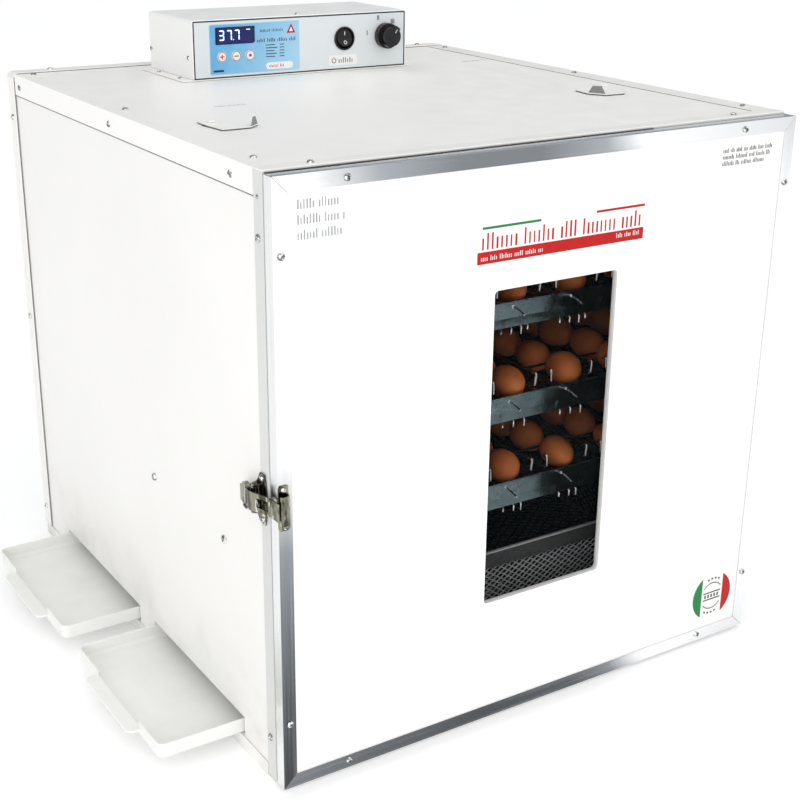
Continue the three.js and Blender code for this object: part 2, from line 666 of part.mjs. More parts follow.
HINGE_LOW_Z.forEach((z, i) => {
  const level = ["lower", "upper"][i];
  place("hinge_cabinet_" + level, cabinetLeaf(z), NICKEL);
  place("hinge_door_" + level, doorLeaf(z), NICKEL);
});

// ---------------------------------------------------------------- toggle latch

function latchBase() {
  const outline = [
    [-315, 273.5], [-306.5, 273.5], [-298, 284], [-296.5, 306],
    [-306.5, 322.5], [-315, 322.5], [-318, 308], [-318, 288],
  ];
  const plate = prism(outline, "x", -302, -300.6);
  const ear = [
    [-301.2, -307.5], [-301.2, -298.5], [-305, -299.6],
    [-309, -301.5], [-309, -304.5], [-305, -306.5],
  ];
  const ears = [[283.3, 285.1], [309.7, 311.5]].map(([z0, z1]) => prism(ear, "z", z0, z1));
  const pin = cylinder("z", LEVER_X, LEVER_Y, 1.5, 282.7, 312.1, 12);
  return join(plate, ears, pin);
}

function latchLever() {
  const barrel = cylinder("z", LEVER_X, LEVER_Y, 3.1, 285.5, 309.3, 14);
  const side = strip([[LEVER_X - 0.5, LEVER_Y], [HOOK_X, HOOK_Y], [-308.6, -290]], 5);
  const cheeks = [[285.5, 287.3], [307.5, 309.3]].map(([z0, z1]) => prism(side, "z", z0, z1));
  const handle = strip([[-309.6, -293.4], [-308.8, -290], [-308.2, -285], [-307.8, -280]], 1.5);
  const taper = [[-294.5, 285.4], [-290, 285.8], [-279, 288], [-279, 303], [-290, 307.4], [-294.5, 309.4]];
  const web = prism(handle, "z", 285.5, 309.3).intersect(prism(taper, "x", -320, -300));
  const pin = cylinder("z", HOOK_X, HOOK_Y, 1.2, 286, 308.8, 12);
  const body = join(barrel, cheeks, web);
  const bore = cylinder("z", LEVER_X, LEVER_Y, 1.62, 270, 310, 12);
  return join(cut(body, bore), pin);
}

function latchHook() {
  const line = [
    [HOOK_X - 1.4, HOOK_Y - 0.5], [-311.4, -303], [-311, -310], [-307.6, -317],
    [-305.2, -324], [-303.6, -331], [-303.1, -338], [-303.4, -344.5],
  ];
  const plate = prism(strip(line, 1.4), "z", 288.5, 306.5);
  const eye = cylinder("z", HOOK_X, HOOK_Y, 2.5, 288.5, 306.5, 14);
  const slot = box(-320, -300, -327, -314, 293, 302);
  const bore = cylinder("z", HOOK_X, HOOK_Y, 1.32, 270, 310, 12);
  return cut(join(plate, eye), slot, bore);
}

function catchPlate() {
  const f = DOOR_FRONT_Y;
  const plate = prism(rounded(-300.8, -289, 276.5, 320, 3, 2), "y", f - 1.5, f - 0.3);
  const curl = [
    [-290.5, f - 1.2], [-292, f - 5.2], [-295, f - 7.2],
    [-298.8, f - 7.4], [-300.4, f - 5.4], [-299.6, f - 3.6],
  ];
  const lip = prism(strip(curl, 1.2), "z", 284, 312);
  return join(plate, lip);
}

place("latch_base", latchBase(), NICKEL);
place("latch_lever", latchLever(), NICKEL);
place("latch_hook", latchHook(), NICKEL);
place("latch_catch", catchPlate(), NICKEL);

// ---------------------------------------------------------------- control box

function boxBase() {
  const foot = rounded(-156.5, 147, BOX_Y[0] - 0.5, BOX_Y[1] + 0.5, 5, 3);
  return prism(foot, "z", TOP_Z + 0.4, TOP_Z + 1.6);
}

function boxCover() {
  const [x0, x1] = BOX_X;
  const [y0, y1] = BOX_Y;
  const outer = prism(rounded(x0, x1, BOX_LOW_Z - 10, BOX_TOP_Z, 2.5, 2), "y", y0, y1);
  const space = rounded(x0 + 1.2, x1 - 1.2, BOX_LOW_Z - 12, BOX_TOP_Z - 1.2, 1.5, 2);
  const inner = prism(space, "y", y0 - 5, y1 - 1.2);
  const below = box(x0 - 5, x1 + 5, y0 - 5, y1 + 5, 500, BOX_LOW_Z);
  const inlet = cylinder("y", -100, 614, 6.4, y1 - 5, y1 + 5, 12);
  return cut(outer, inner, below, inlet);
}

function boxFront() {
  const y = [BOX_Y[0] + 0.3, BOX_Y[0] + 1.7];
  const plate = prism(rounded(BOX_X[0] + 2, BOX_X[1] - 2, BOX_LOW_Z + 0.6, BOX_TOP_Z - 2, 1.5, 2), "y", ...y);
  const [dx0, dx1, dz0, dz1] = DISPLAY;
  const screen = box(dx0 - 0.3, dx1 + 0.3, 100, 200, dz0 - 0.3, dz1 + 0.3);
  const keys = Object.values(KEYS).map((x) => cylinder("y", x, KEY_Z, KEY_R + 0.25, 100, 200));
  const round = cylinder("y", ...SWITCH, SWITCH_R - 0.6, 100, 200, 20);
  const shaft = cylinder("y", ...KNOB, 3.6, 100, 200, 12);
  return cut(plate, screen, keys, round, shaft);
}

function displayModule() {
  const [x0, x1, z0, z1] = DISPLAY;
  const screen = box(x0, x1, BOX_Y[0] - 0.4, BOX_Y[0] + 8, z0, z1);
  const flange = box(x0 - 3, x1 + 3, BOX_Y[0] + 2, BOX_Y[0] + 8, z0 - 1.6, z1 + 3);
  return join(screen, flange);
}

function switchBezel() {
  const y = -BOX_Y[0];
  const profile = [
    [11.9, y + 1.9], [11.9, y - 12], [12.9, y - 12], [12.9, y],
    [SWITCH_R, y], [SWITCH_R, y + 1.2], [13, y + 1.9],
  ];
  const closed = profile.concat([profile[0]]).map(([r, h]) => new THREE.Vector2(r, h));
  const shape = new THREE.LatheGeometry(closed, 20);
  shape.rotateX(Math.PI);
  shape.translate(SWITCH[0], 0, SWITCH[1]);
  return solid(shape);
}

// Round rocker: a short drum with a V-shaped face, at rest with its upper half pressed in.
function switchRocker() {
  const y = BOX_Y[0];
  const pivot = new THREE.Vector3(SWITCH[0], y + ROCKER_DEPTH, SWITCH[1]);
  const drum = cylinder("y", SWITCH[0], SWITCH[1], 10.1, y - 3.4, y + 7, 20);
  const side = [[-9, -13], [-9, 13], [-3.2, 13], [-1, 0], [-3.2, -13]];
  const front = side.map(([dy, dz]) => [y + dy, SWITCH[1] + dz]);
  const face = prism(front, "x", SWITCH[0] - 15, SWITCH[0] + 15);
  const tilt = new THREE.Matrix4().makeTranslation(pivot);
  tilt.multiply(new THREE.Matrix4().makeRotationX(THREE.MathUtils.degToRad(-ROCKER_TILT)));
  tilt.multiply(new THREE.Matrix4().makeTranslation(pivot.clone().negate()));
  return cut(drum, face).transform(Array.from(tilt.elements));
}

function selectorKnob() {
  const [x, z] = KNOB;
  const skirt = cylinder("y", x, z, KNOB_R, 140.5, 149, 24);
  const grip = cylinder("y", x, z, 11.4, 131, 141, 24);
  const rib = box(x - 3.4, x + 3.4, 130.6, 141, z - 13.2, z + 13.2);
  const turned = new THREE.Matrix4();
  turned.makeTranslation(x, 0, z);
  turned.multiply(new THREE.Matrix4().makeRotationY(THREE.MathUtils.degToRad(36)));
  turned.multiply(new THREE.Matrix4().makeTranslation(-x, 0, -z));
  const e = turned.elements;
  const grips = rib.transform(Array.from(e));
  const shaft = cylinder("y", x, z, 3, 148, 158, 12);
  return join(skirt, grip, grips, shaft);
}

function keyCap(x) {
  const cap = cylinder("y", x, KEY_Z, KEY_R, 148.7, 152.6);
  const stem = cylinder("y", x, KEY_Z, 2.5, 152, 158.4, 10);
  return join(cap, stem);
}

function circuitBoard() {
  const plate = box(-128, -32, 160.2, 161.8, 598, 656);
  const chip = box(-60, -40, 161.5, 166, 604, 622);
  const relay = box(-120, -98, 161.5, 176, 602, 618);
  const screws = box(-94, -66, 161.5, 171, 599, 608);
  return join(plate, chip, relay, screws);
}

function powerSupply() {
  const core = box(58, 112, 196, 236, TOP_Z + 2, 640);
  const coil = box(66, 104, 188, 244, TOP_Z + 8, 634);
  return join(core, coil);
}

function powerInlet() {
  const y = BOX_Y[1];
  const nut = prism(circle(-100, 614, 10, 6), "y", y + 0.2, y + 6);
  const barrel = cylinder("y", -100, 614, 6, y - 8, y + 12, 14);
  const lock = prism(circle(-100, 614, 9, 6), "y", y - 6, y - 1.5);
  const bore = cylinder("y", -100, 614, 3.2, y - 20, y + 20, 12);
  return cut(join(nut, barrel, lock), bore);
}

place("control_base", boxBase(), PAINTED);
place("control_cover", boxCover(), PAINTED);
place("control_front", boxFront(), BOX_GREY);
place("display_module", displayModule(), SCREEN_BLUE);
place("switch_bezel", switchBezel(), BLACK_PLASTIC);
place("switch_rocker", switchRocker(), BLACK_PLASTIC);
place("selector_knob", selectorKnob(), BLACK_PLASTIC);
for (const [key, x] of Object.entries(KEYS)) {
  place("button_" + key, keyCap(x), WHITE_PLASTIC);
}
place("circuit_board", circuitBoard(), BOARD_GREEN);
place("power_supply", powerSupply(), DARK_STEEL);
place("power_inlet", powerInlet(), BLACK_PLASTIC);

export default group;
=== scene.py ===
import math
import random

import bmesh
import bpy
from mathutils import Matrix, Vector


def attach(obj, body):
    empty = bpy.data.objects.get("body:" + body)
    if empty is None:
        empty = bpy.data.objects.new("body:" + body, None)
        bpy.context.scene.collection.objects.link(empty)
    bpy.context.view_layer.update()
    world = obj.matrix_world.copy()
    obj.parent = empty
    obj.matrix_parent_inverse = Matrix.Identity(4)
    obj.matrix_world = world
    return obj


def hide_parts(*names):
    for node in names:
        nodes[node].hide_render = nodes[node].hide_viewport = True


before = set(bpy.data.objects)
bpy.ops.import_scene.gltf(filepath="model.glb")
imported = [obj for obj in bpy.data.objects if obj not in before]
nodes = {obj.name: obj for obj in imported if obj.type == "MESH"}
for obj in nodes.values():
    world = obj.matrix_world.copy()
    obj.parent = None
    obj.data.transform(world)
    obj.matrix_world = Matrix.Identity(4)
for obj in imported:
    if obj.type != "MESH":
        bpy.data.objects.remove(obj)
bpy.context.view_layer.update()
MM = 0.001

# ---------------------------------------------------------------- camera, floor and light

scene = bpy.context.scene
scene.view_settings.view_transform = "Standard"
scene.view_settings.look = "None"

CAMERA_PLACE = (-0.817106, -1.336149, 0.829915)
CAMERA_RIGHT = Vector((0.843265, -0.537387, 0.010882))
CAMERA_UP = Vector((0.183259, 0.306484, 0.934068))
CAMERA_LENS = 63.552

eye = bpy.data.cameras.new("camera")
camera = bpy.data.objects.new("camera", eye)
scene.collection.objects.link(camera)
back = CAMERA_RIGHT.cross(CAMERA_UP).normalized()
right = CAMERA_UP.cross(back).normalized()
turn = Matrix((right, CAMERA_UP.normalized(), back)).transposed()
camera.matrix_world = Matrix.Translation(CAMERA_PLACE) @ turn.to_4x4()
eye.lens = CAMERA_LENS
eye.sensor_width = 36
eye.clip_start = 0.01
eye.clip_end = 50
scene.camera = camera


def link(tree, a, b):
    tree.links.new(a, b)


def make_world():
    world = bpy.data.worlds.new("studio")
    scene.world = world
    world.use_nodes = True
    tree = world.node_tree
    tree.nodes.clear()
    out = tree.nodes.new("ShaderNodeOutputWorld")
    seen = tree.nodes.new("ShaderNodeBackground")
    seen.inputs["Color"].default_value = (1, 1, 1, 1)
    seen.inputs["Strength"].default_value = 1.05
    soft = tree.nodes.new("ShaderNodeBackground")
    soft.inputs["Strength"].default_value = 1.12
    where = tree.nodes.new("ShaderNodeTexCoord")
    split = tree.nodes.new("ShaderNodeSeparateXYZ")
    link(tree, where.outputs["Generated"], split.inputs[0])
    # the room is darker behind the object, low over the floor
    behind = tree.nodes.new("ShaderNodeMapRange")
    behind.inputs["From Min"].default_value = -0.2
    behind.inputs["From Max"].default_value = 0.75
    link(tree, split.outputs["Y"], behind.inputs["Value"])
    high = tree.nodes.new("ShaderNodeMapRange")
    high.inputs["From Min"].default_value = 0.75
    high.inputs["From Max"].default_value = 0.3
    link(tree, split.outputs["Z"], high.inputs["Value"])
    both = tree.nodes.new("ShaderNodeMath")
    both.operation = "MULTIPLY"
    link(tree, behind.outputs[0], both.inputs[0])
    link(tree, high.outputs[0], both.inputs[1])
    ramp = tree.nodes.new("ShaderNodeValToRGB")
    ramp.color_ramp.elements[0].color = (0.95, 0.95, 0.95, 1)
    ramp.color_ramp.elements[1].color = (0.13, 0.16, 0.20, 1)
    link(tree, both.outputs[0], ramp.inputs[0])
    link(tree, ramp.outputs[0], soft.inputs["Color"])
    path = tree.nodes.new("ShaderNodeLightPath")
    mix = tree.nodes.new("ShaderNodeMixShader")
    link(tree, path.outputs["Is Camera Ray"], mix.inputs[0])
    link(tree, soft.outputs[0], mix.inputs[1])
    link(tree, seen.outputs[0], mix.inputs[2])
    link(tree, mix.outputs[0], out.inputs[0])


def lamp(name, place, aim, size, power):
    data = bpy.data.lights.new(name, "AREA")
    data.shape = "RECTANGLE"
    data.size, data.size_y = size
    data.energy = power
    obj = bpy.data.objects.new(name, data)
    scene.collection.objects.link(obj)
    obj.location = place
    obj.rotation_euler = (Vector(aim) - Vector(place)).to_track_quat("-Z", "Y").to_euler()
    obj.visible_camera = False
    return obj


make_world()
lamp("key_light", (-0.9, -2.9, 1.5), (0, -0.3, 0.3), (2.6, 1.8), 9)
lamp("side_light", (-1.9, -1.5, 0.7), (-0.3, -0.2, 0.25), (1.2, 1.0), 8)

# ---------------------------------------------------------------- materials


class Surface:
    """A procedural material: two mottled colours, streaked or even grain in the gloss, and a fine bump."""

    def __init__(self, name, first, second, rough, metal=0.0, spec=0.5):
        self.mat = bpy.data.materials.new(name)
        self.mat.use_nodes = True
        self.tree = self.mat.node_tree
        self.shader = self.tree.nodes["Principled BSDF"]
        self.shader.inputs["Metallic"].default_value = metal
        self.shader.inputs["Specular IOR Level"].default_value = spec
        self.where = self.add("ShaderNodeTexCoord").outputs["Object"]
        self.first, self.second, self.rough = first, second, rough

    def add(self, kind, **values):
        node = self.tree.nodes.new(kind)
        for key, value in values.items():
            if hasattr(node, key):
                setattr(node, key, value)
            else:
                node.inputs[key.replace("_", " ")].default_value = value
        return node

    def join(self, a, b):
        self.tree.links.new(a, b)

    def scaled(self, stretch):
        mapping = self.add("ShaderNodeMapping")
        mapping.inputs["Scale"].default_value = stretch
        self.join(self.where, mapping.inputs["Vector"])
        return mapping.outputs[0]

    def noise(self, scale, stretch=(1, 1, 1), detail=3.0, roughness=0.5):
        node = self.add("ShaderNodeTexNoise", Scale=scale, Detail=detail, Roughness=roughness)
        self.join(self.scaled(stretch), node.inputs["Vector"])
        return node.outputs["Fac"]

    def spread(self, value, low, high, to_low=0.0, to_high=1.0):
        node = self.add("ShaderNodeMapRange")
        node.inputs["From Min"].default_value = low
        node.inputs["From Max"].default_value = high
        node.inputs["To Min"].default_value = to_low
        node.inputs["To Max"].default_value = to_high
        self.join(value, node.inputs["Value"])
        return node.outputs[0]

    def maths(self, operation, a, b):
        node = self.add("ShaderNodeMath", operation=operation)
        for slot, value in ((0, a), (1, b)):
            if hasattr(value, "is_linked"):
                self.join(value, node.inputs[slot])
            else:
                node.inputs[slot].default_value = value
        return node.outputs[0]

    def mix(self, factor, a, b):
        node = self.add("ShaderNodeMix", data_type="RGBA")
        self.join(factor, node.inputs[0])
        for slot, value in ((6, a), (7, b)):
            if hasattr(value, "is_linked"):
                self.join(value, node.inputs[slot])
            else:
                node.inputs[slot].default_value = (*value, 1)
        return node.outputs[2]

    def colour(self, patch=5.0, low=0.35, high=0.65, stretch=(1, 1, 1)):
        self.tint = self.mix(self.spread(self.noise(patch, stretch, 5.0), low, high), self.first, self.second)
        return self

    def over(self, factor, colour):
        self.tint = self.mix(factor, self.tint, colour)
        return self

    def gloss(self, grain=60.0, stretch=(1, 1, 1), swing=0.06):
        low, high = max(self.rough - swing, 0.02), min(self.rough + swing, 1.0)
        self.gloss_value = self.spread(self.noise(grain, stretch, 4.0), 0.3, 0.7, low, high)
        return self

    def bump(self, grain=900.0, stretch=(1, 1, 1), depth=0.00005, strength=0.3):
        node = self.add("ShaderNodeBump", Strength=strength, Distance=depth)
        self.join(self.noise(grain, stretch, 2.0), node.inputs["Height"])
        self.join(node.outputs[0], self.shader.inputs["Normal"])
        return self

    def done(self):
        self.join(self.tint, self.shader.inputs["Base Color"])
        self.join(self.gloss_value, self.shader.inputs["Roughness"])
        return self.mat

    def axis(self, name):
        split = self.add("ShaderNodeSeparateXYZ")
        self.join(self.where, split.inputs[0])
        return split.outputs[name]


DOOR_BAR_FACE = -0.33735  # edging nearer than this in Y is its front face
# painted shade: UNLIT is the near-black colour given to inner faces, which lie in shade
UNLIT = (0.018, 0.018, 0.019)  # inner faces, whose own colour is not known
WHITE, WHITE_2 = (0.87, 0.86, 0.835), (0.84, 0.83, 0.805)
# painted light: the roof and vent plates get a lighter copy of the wall white, for the light falling on the
# top
LIT_ROOF_WHITE, LIT_ROOF_WHITE_2 = (0.92, 0.91, 0.88), (0.89, 0.88, 0.855)


def paint(name, first, second, rough=0.42, grime=True):
    s = Surface(name, first, second, rough).colour(3.5).gloss(35, swing=0.05)
    if grime:
        # faint soiling low down
        low = s.spread(s.axis("Z"), 0.0, 0.09, 0.55, 0.0)
        s.over(s.maths("MULTIPLY", low, s.spread(s.noise(22, detail=6), 0.42, 0.72)), (0.46, 0.44, 0.40))
    return s.bump(520, depth=0.00006, strength=0.22).done()


def skin(name, first, second, rough, inside):
    """Painted sheet outside; where inside(surface) is 1 the inner faces are near black, as painted shade."""
    s = Surface(name, first, second, rough).colour(3.0).gloss(35, swing=0.05)
    low = s.spread(s.axis("Z"), 0.015, 0.12, 0.5, 0.0)
    s.over(s.maths("MULTIPLY", low, s.spread(s.noise(18, detail=6), 0.45, 0.75)), (0.50, 0.48, 0.44))
    # painted shade: inner faces near black
    s.over(inside(s), UNLIT)
    return s.bump(480, depth=0.00006, strength=0.22).done()


def edging(name, along, tones):
    """Satin aluminium edging. tones are (place along the bar in mm, brightness) for its front face.

    They stand for a room's reflections and are not the metal's own colour.
    """
    stretch = [1.0, 1.0, 1.0]
    stretch["XYZ".index(along)] = 0.02
    s = Surface(name, (0.88, 0.885, 0.88), (0.80, 0.805, 0.80), 0.24, metal=1.0).colour(30, stretch=stretch)
    ramp = s.add("ShaderNodeValToRGB")
    marks = ramp.color_ramp.elements
    while len(marks) < len(tones):
        marks.new(0.5)
    for mark, (place, tone) in zip(marks, tones):
        mark.position = (place + 300) / 900
        blue = 0.07 if tone < 0.6 else 0.01
        mark.color = (tone * (1 - blue), tone, tone * (1 + blue), 1)
    blotch = s.spread(s.noise(26, stretch, 3.0), 0.3, 0.7, -0.025, 0.025)
    s.join(s.spread(s.maths("ADD", s.axis(along), blotch), -0.3, 0.6), ramp.inputs[0])
    face = s.maths("LESS_THAN", s.axis("Y"), DOOR_BAR_FACE)
    s.tint = s.mix(face, s.tint, ramp.outputs[0])
    s.over(s.spread(s.noise(300, stretch), 0.5, 0.8, 0.0, 0.22), (0.55, 0.56, 0.57))
    return s.gloss(300, stretch, 0.05).bump(500, stretch, 0.00003, 0.2).done()


def zinc(name, first, second, rough=0.38):
    s = Surface(name, first, second, rough, metal=1.0)
    cells = s.add("ShaderNodeTexVoronoi", Scale=95.0)
    s.join(s.scaled((1, 1, 1)), cells.inputs["Vector"])
    flakes = s.spread(cells.outputs["Distance"], 0.0, 0.7)
    s.tint = s.mix(flakes, first, second)
    s.over(s.spread(s.noise(14, detail=6), 0.55, 0.8, 0.0, 0.5), (0.30, 0.31, 0.32))
    return s.gloss(90, swing=0.12).bump(240, depth=0.00008, strength=0.25).done()


def label_film():
    s = Surface("label_film", (0.10, 0.38, 0.66), (0.13, 0.42, 0.69), 0.35).colour(80)
    # painted sheen: a pale diagonal band across the label stands for a reflection
    across = s.maths("SUBTRACT", s.axis("X"), s.maths("MULTIPLY", s.axis("Z"), 0.6))
    s.over(s.spread(across, -0.49, -0.37, 0.0, 0.85), (0.42, 0.66, 0.82))
    return s.gloss(200, swing=0.05).bump(1600, depth=0.00002, strength=0.2).done()


def trim_skin():
    """The front frame: its upright faces are greyer, as painted shade, and its top fold is like the roof."""
    # painted shade: the upright faces get a greyer copy of the paint; the top fold above gets a lighter white
    s = Surface("painted_trim", (0.66, 0.665, 0.65), (0.62, 0.625, 0.61), 0.4).colour(3.5)
    s.over(s.spread(s.axis("Z"), 0.5932, 0.5938), (0.86, 0.85, 0.82))
    return s.gloss(35, swing=0.05).bump(520, depth=0.00006, strength=0.22).done()


def screw_skin():
    """Bright plating. Its light and dark patches stand for reflections."""
    s = Surface("screw_head", (0.86, 0.86, 0.85), (0.20, 0.20, 0.20), 0.16, metal=1.0).colour(330, 0.42, 0.56)
    return s.gloss(300, swing=0.06).bump(900, depth=0.00005, strength=0.2).done()


def nickel_skin():
    # painted reflections: the dark olive and light patches and the bright streaks stand for the room
    # reflected in the plating
    s = Surface("nickel_plate", (0.30, 0.29, 0.22), (0.07, 0.066, 0.045), 0.14, metal=1.0)
    s.colour(130, 0.42, 0.58, (1, 1, 0.4))
    s.over(s.spread(s.noise(170, (1, 1, 0.3)), 0.60, 0.66, 0.0, 0.8), (0.80, 0.79, 0.72))
    return s.gloss(200, swing=0.06).bump(500, depth=0.00005, strength=0.2).done()


def tray_skin():
    """Bright front rail; the tray behind it is near black, as painted shade."""
    s = Surface("tray_sheet", (0.27, 0.36, 0.38), (0.17, 0.235, 0.25), 0.22, metal=1.0)
    s.colour(9, 0.4, 0.6, (1, 1, 0.3))
    s.over(s.spread(s.noise(90, (0.3, 1, 1), 5.0), 0.58, 0.75, 0.0, 0.35), (0.42, 0.48, 0.50))
    # painted shade: near black behind the rail's face
    s.over(s.spread(s.axis("Y"), -0.2796, -0.2790), (0.008, 0.008, 0.009))
    return s.gloss(90, swing=0.1).bump(240, depth=0.00006, strength=0.2).done()


def plastic(name, first, second, rough, depth=0.00004, spec=0.5):
    s = Surface(name, first, second, rough, spec=spec).colour(24).gloss(80, swing=0.06)
    return s.bump(1400, depth=depth, strength=0.35).done()


def flat_print(name, first, second=None, rough=0.45):
    second = second or tuple(c * 0.88 for c in first)
    s = Surface(name, first, second, rough, spec=0.2).colour(160, 0.3, 0.7).gloss(200, swing=0.05)
    return s.bump(1600, depth=0.00002, strength=0.2).done()


def inside_side(s):
    far = s.maths("ABSOLUTE", s.axis("X"), 0.0)
    return s.maths("MULTIPLY", s.maths("LESS_THAN", far, 0.2768), s.maths("LESS_THAN", s.axis("Z"), 0.592))


def inside_top(s):
    return s.maths("LESS_THAN", s.axis("Z"), 0.5708)


def inside_floor(s):
    return s.maths("GREATER_THAN", s.axis("Z"), 0.0155)


def inside_back(s):
    return s.maths("LESS_THAN", s.axis("Y"), 0.3009)


def vent_skin():
    """Painted like the roof, with painted shade on its edge faces and a grey finger tab above the plate."""
    s = Surface("vent_plate", LIT_ROOF_WHITE, LIT_ROOF_WHITE_2, 0.42).colour(3.0).gloss(35, swing=0.05)
    # painted shade: dark on the plate's edge faces, below its top
    s.over(s.spread(s.axis("Z"), 0.5956, 0.5952), (0.16, 0.16, 0.155))
    s.over(s.spread(s.axis("Z"), 0.5960, 0.5966), (0.20, 0.21, 0.20))
    return s.bump(480, depth=0.00006, strength=0.22).done()


M = {
    "paint": paint("painted_sheet", WHITE, WHITE_2),
    "trim": trim_skin(),
    "film": label_film(),
    "roof": paint("painted_roof", LIT_ROOF_WHITE, LIT_ROOF_WHITE_2, 0.45, grime=False),
    "cover": paint("painted_cover", (0.90, 0.90, 0.885), (0.87, 0.87, 0.855), 0.38, grime=False),
    "side": skin("side_skin", WHITE, WHITE_2, 0.42, inside_side),
    "top": skin("roof_skin", LIT_ROOF_WHITE, LIT_ROOF_WHITE_2, 0.42, inside_top),
    "vent": vent_skin(),
    "floor": skin("floor_skin", WHITE, WHITE_2, 0.42, inside_floor),
    "back": skin("back_skin", WHITE, WHITE_2, 0.42, inside_back),
    "door": paint("door_laminate", (0.90, 0.895, 0.88), (0.875, 0.87, 0.855), 0.28, grime=False),
    "alu_left": edging("aluminium_left", "Z", [
        (0, 0.07), (90, 0.10), (160, 0.17), (240, 0.30), (300, 0.70), (340, 1.0)]),
    "alu_right": edging("aluminium_right", "Z", [(0, 0.85), (90, 0.98), (500, 1.0), (590, 0.72)]),
    "alu_top": edging("aluminium_top", "X", [
        (-270, 1.0), (-245, 0.75), (-200, 0.42), (-120, 0.24),
        (-30, 0.23), (50, 0.42), (95, 1.0), (290, 0.76)]),
    "alu_bottom": edging("aluminium_bottom", "X", [
        (-290, 0.23), (-220, 0.16), (-80, 0.095), (40, 0.12),
        (95, 0.27), (130, 0.8), (150, 1.0), (290, 0.8)]),
    "zinc": zinc("galvanised_sheet", (0.34, 0.40, 0.44), (0.22, 0.27, 0.30), 0.27),
    "rail": tray_skin(),
    # painted shade: near-black copy of the divider wire, for wires running back into the dark chamber
    "wire_shade": plastic("wire_painted_shade", (0.030, 0.031, 0.033), (0.016, 0.017, 0.018), 0.5, spec=0.2),
    # painted highlight: near-white strands of the front lattice, for the light they catch
    "lattice": flat_print("strand_edges", (0.95, 0.95, 0.95), (0.62, 0.63, 0.64), 0.3),
    "wire": zinc("galvanised_wire", (0.88, 0.89, 0.90), (0.68, 0.70, 0.71), 0.22),
    "mesh": flat_print("dark_mesh", (0.13, 0.13, 0.127), (0.09, 0.09, 0.088), 0.4),
    "dark": zinc("dark_sheet", (0.045, 0.045, 0.047), (0.025, 0.025, 0.026), 0.45),
    # painted shade: near-black copy of the lattice for the basket's shaded back, sides and floor
    "lattice_shade": plastic("lattice_painted_shade", (0.005, 0.005, 0.005), (0.010, 0.010, 0.010), 0.7, spec=0.08),
    "nickel": nickel_skin(),
    "screw": screw_skin(),
    "tray": plastic("tray_plastic", (0.86, 0.865, 0.835), (0.82, 0.825, 0.80), 0.38),
    "white": plastic("white_plastic", (0.80, 0.80, 0.77), (0.76, 0.76, 0.73), 0.4),
    "black": plastic("black_plastic", (0.012, 0.012, 0.013), (0.02, 0.02, 0.021), 0.42, spec=0.25),
    "shine": plastic("black_gloss", (0.008, 0.008, 0.009), (0.014, 0.014, 0.015), 0.25, spec=0.3),
    "rubber": plastic("rubber", (0.018, 0.018, 0.019), (0.034, 0.034, 0.034), 0.75),
    "jamb": plastic("grey_rubber", (0.64, 0.64, 0.625), (0.58, 0.58, 0.565), 0.6),
    "front": paint("front_sheet", (0.69, 0.73, 0.745), (0.65, 0.69, 0.71), 0.38, grime=False),
    "board": plastic("board", (0.03, 0.11, 0.05), (0.02, 0.08, 0.035), 0.45),
    "red": flat_print("print_red", (0.50, 0.010, 0.010)),
    "green": flat_print("print_green", (0.02, 0.22, 0.06)),
    "grey": flat_print("print_grey", (0.36, 0.37, 0.39)),
    "faint": flat_print("print_faint", (0.50, 0.51, 0.56), (0.62, 0.63, 0.66)),
    # painted light: a pale tone laid over the shadow of the roof fold
    "seam_light": flat_print("seam_painted_light", (0.62, 0.62, 0.60), (0.68, 0.68, 0.66)),
    "ink": flat_print("print_ink", (0.03, 0.03, 0.035), (0.05, 0.05, 0.055)),
    "paper": flat_print("print_white", (0.84, 0.84, 0.83), (0.80, 0.80, 0.79)),
    "pale": flat_print("print_pale", (0.34, 0.55, 0.72), (0.40, 0.60, 0.75), 0.35),
    "purple": flat_print("print_purple", (0.20, 0.07, 0.30)),
    "navy": flat_print("display_film", (0.012, 0.016, 0.10), (0.02, 0.024, 0.13), 0.15),
}


def make_glass():
    s = Surface("pane_glass", (0.004, 0.006, 0.007), (0.007, 0.010, 0.011), 0.05, spec=0.04).colour(6)
    s.gloss(20, swing=0.02).bump(12, depth=0.0002, strength=0.05)
    s.shader.inputs["Alpha"].default_value = 0.2
    return s.done()


def make_lit():
    s = Surface("display_digit", (0.55, 0.80, 1.0), (0.70, 0.90, 1.0), 0.4).colour(300).gloss(200)
    s.shader.inputs["Emission Color"].default_value = (0.45, 0.72, 1.0, 1)
    s.shader.inputs["Emission Strength"].default_value = 1.1
    return s.done()


def make_shell():
    s = Surface("egg_shell", (0.90, 0.27, 0.07), (0.68, 0.17, 0.045), 0.5, spec=0.25).colour(19, 0.4, 0.62)
    s.over(s.spread(s.noise(45, detail=4), 0.6, 0.8, 0.0, 0.35), (0.88, 0.42, 0.20))
    s.over(s.spread(s.noise(420, detail=5), 0.66, 0.74, 0.0, 0.5), (0.24, 0.07, 0.03))
    return s.gloss(60, swing=0.06).bump(1500, depth=0.00006, strength=0.4).done()


M["glass"] = make_glass()
M["lit"] = make_lit()
M["egg"] = make_shell()

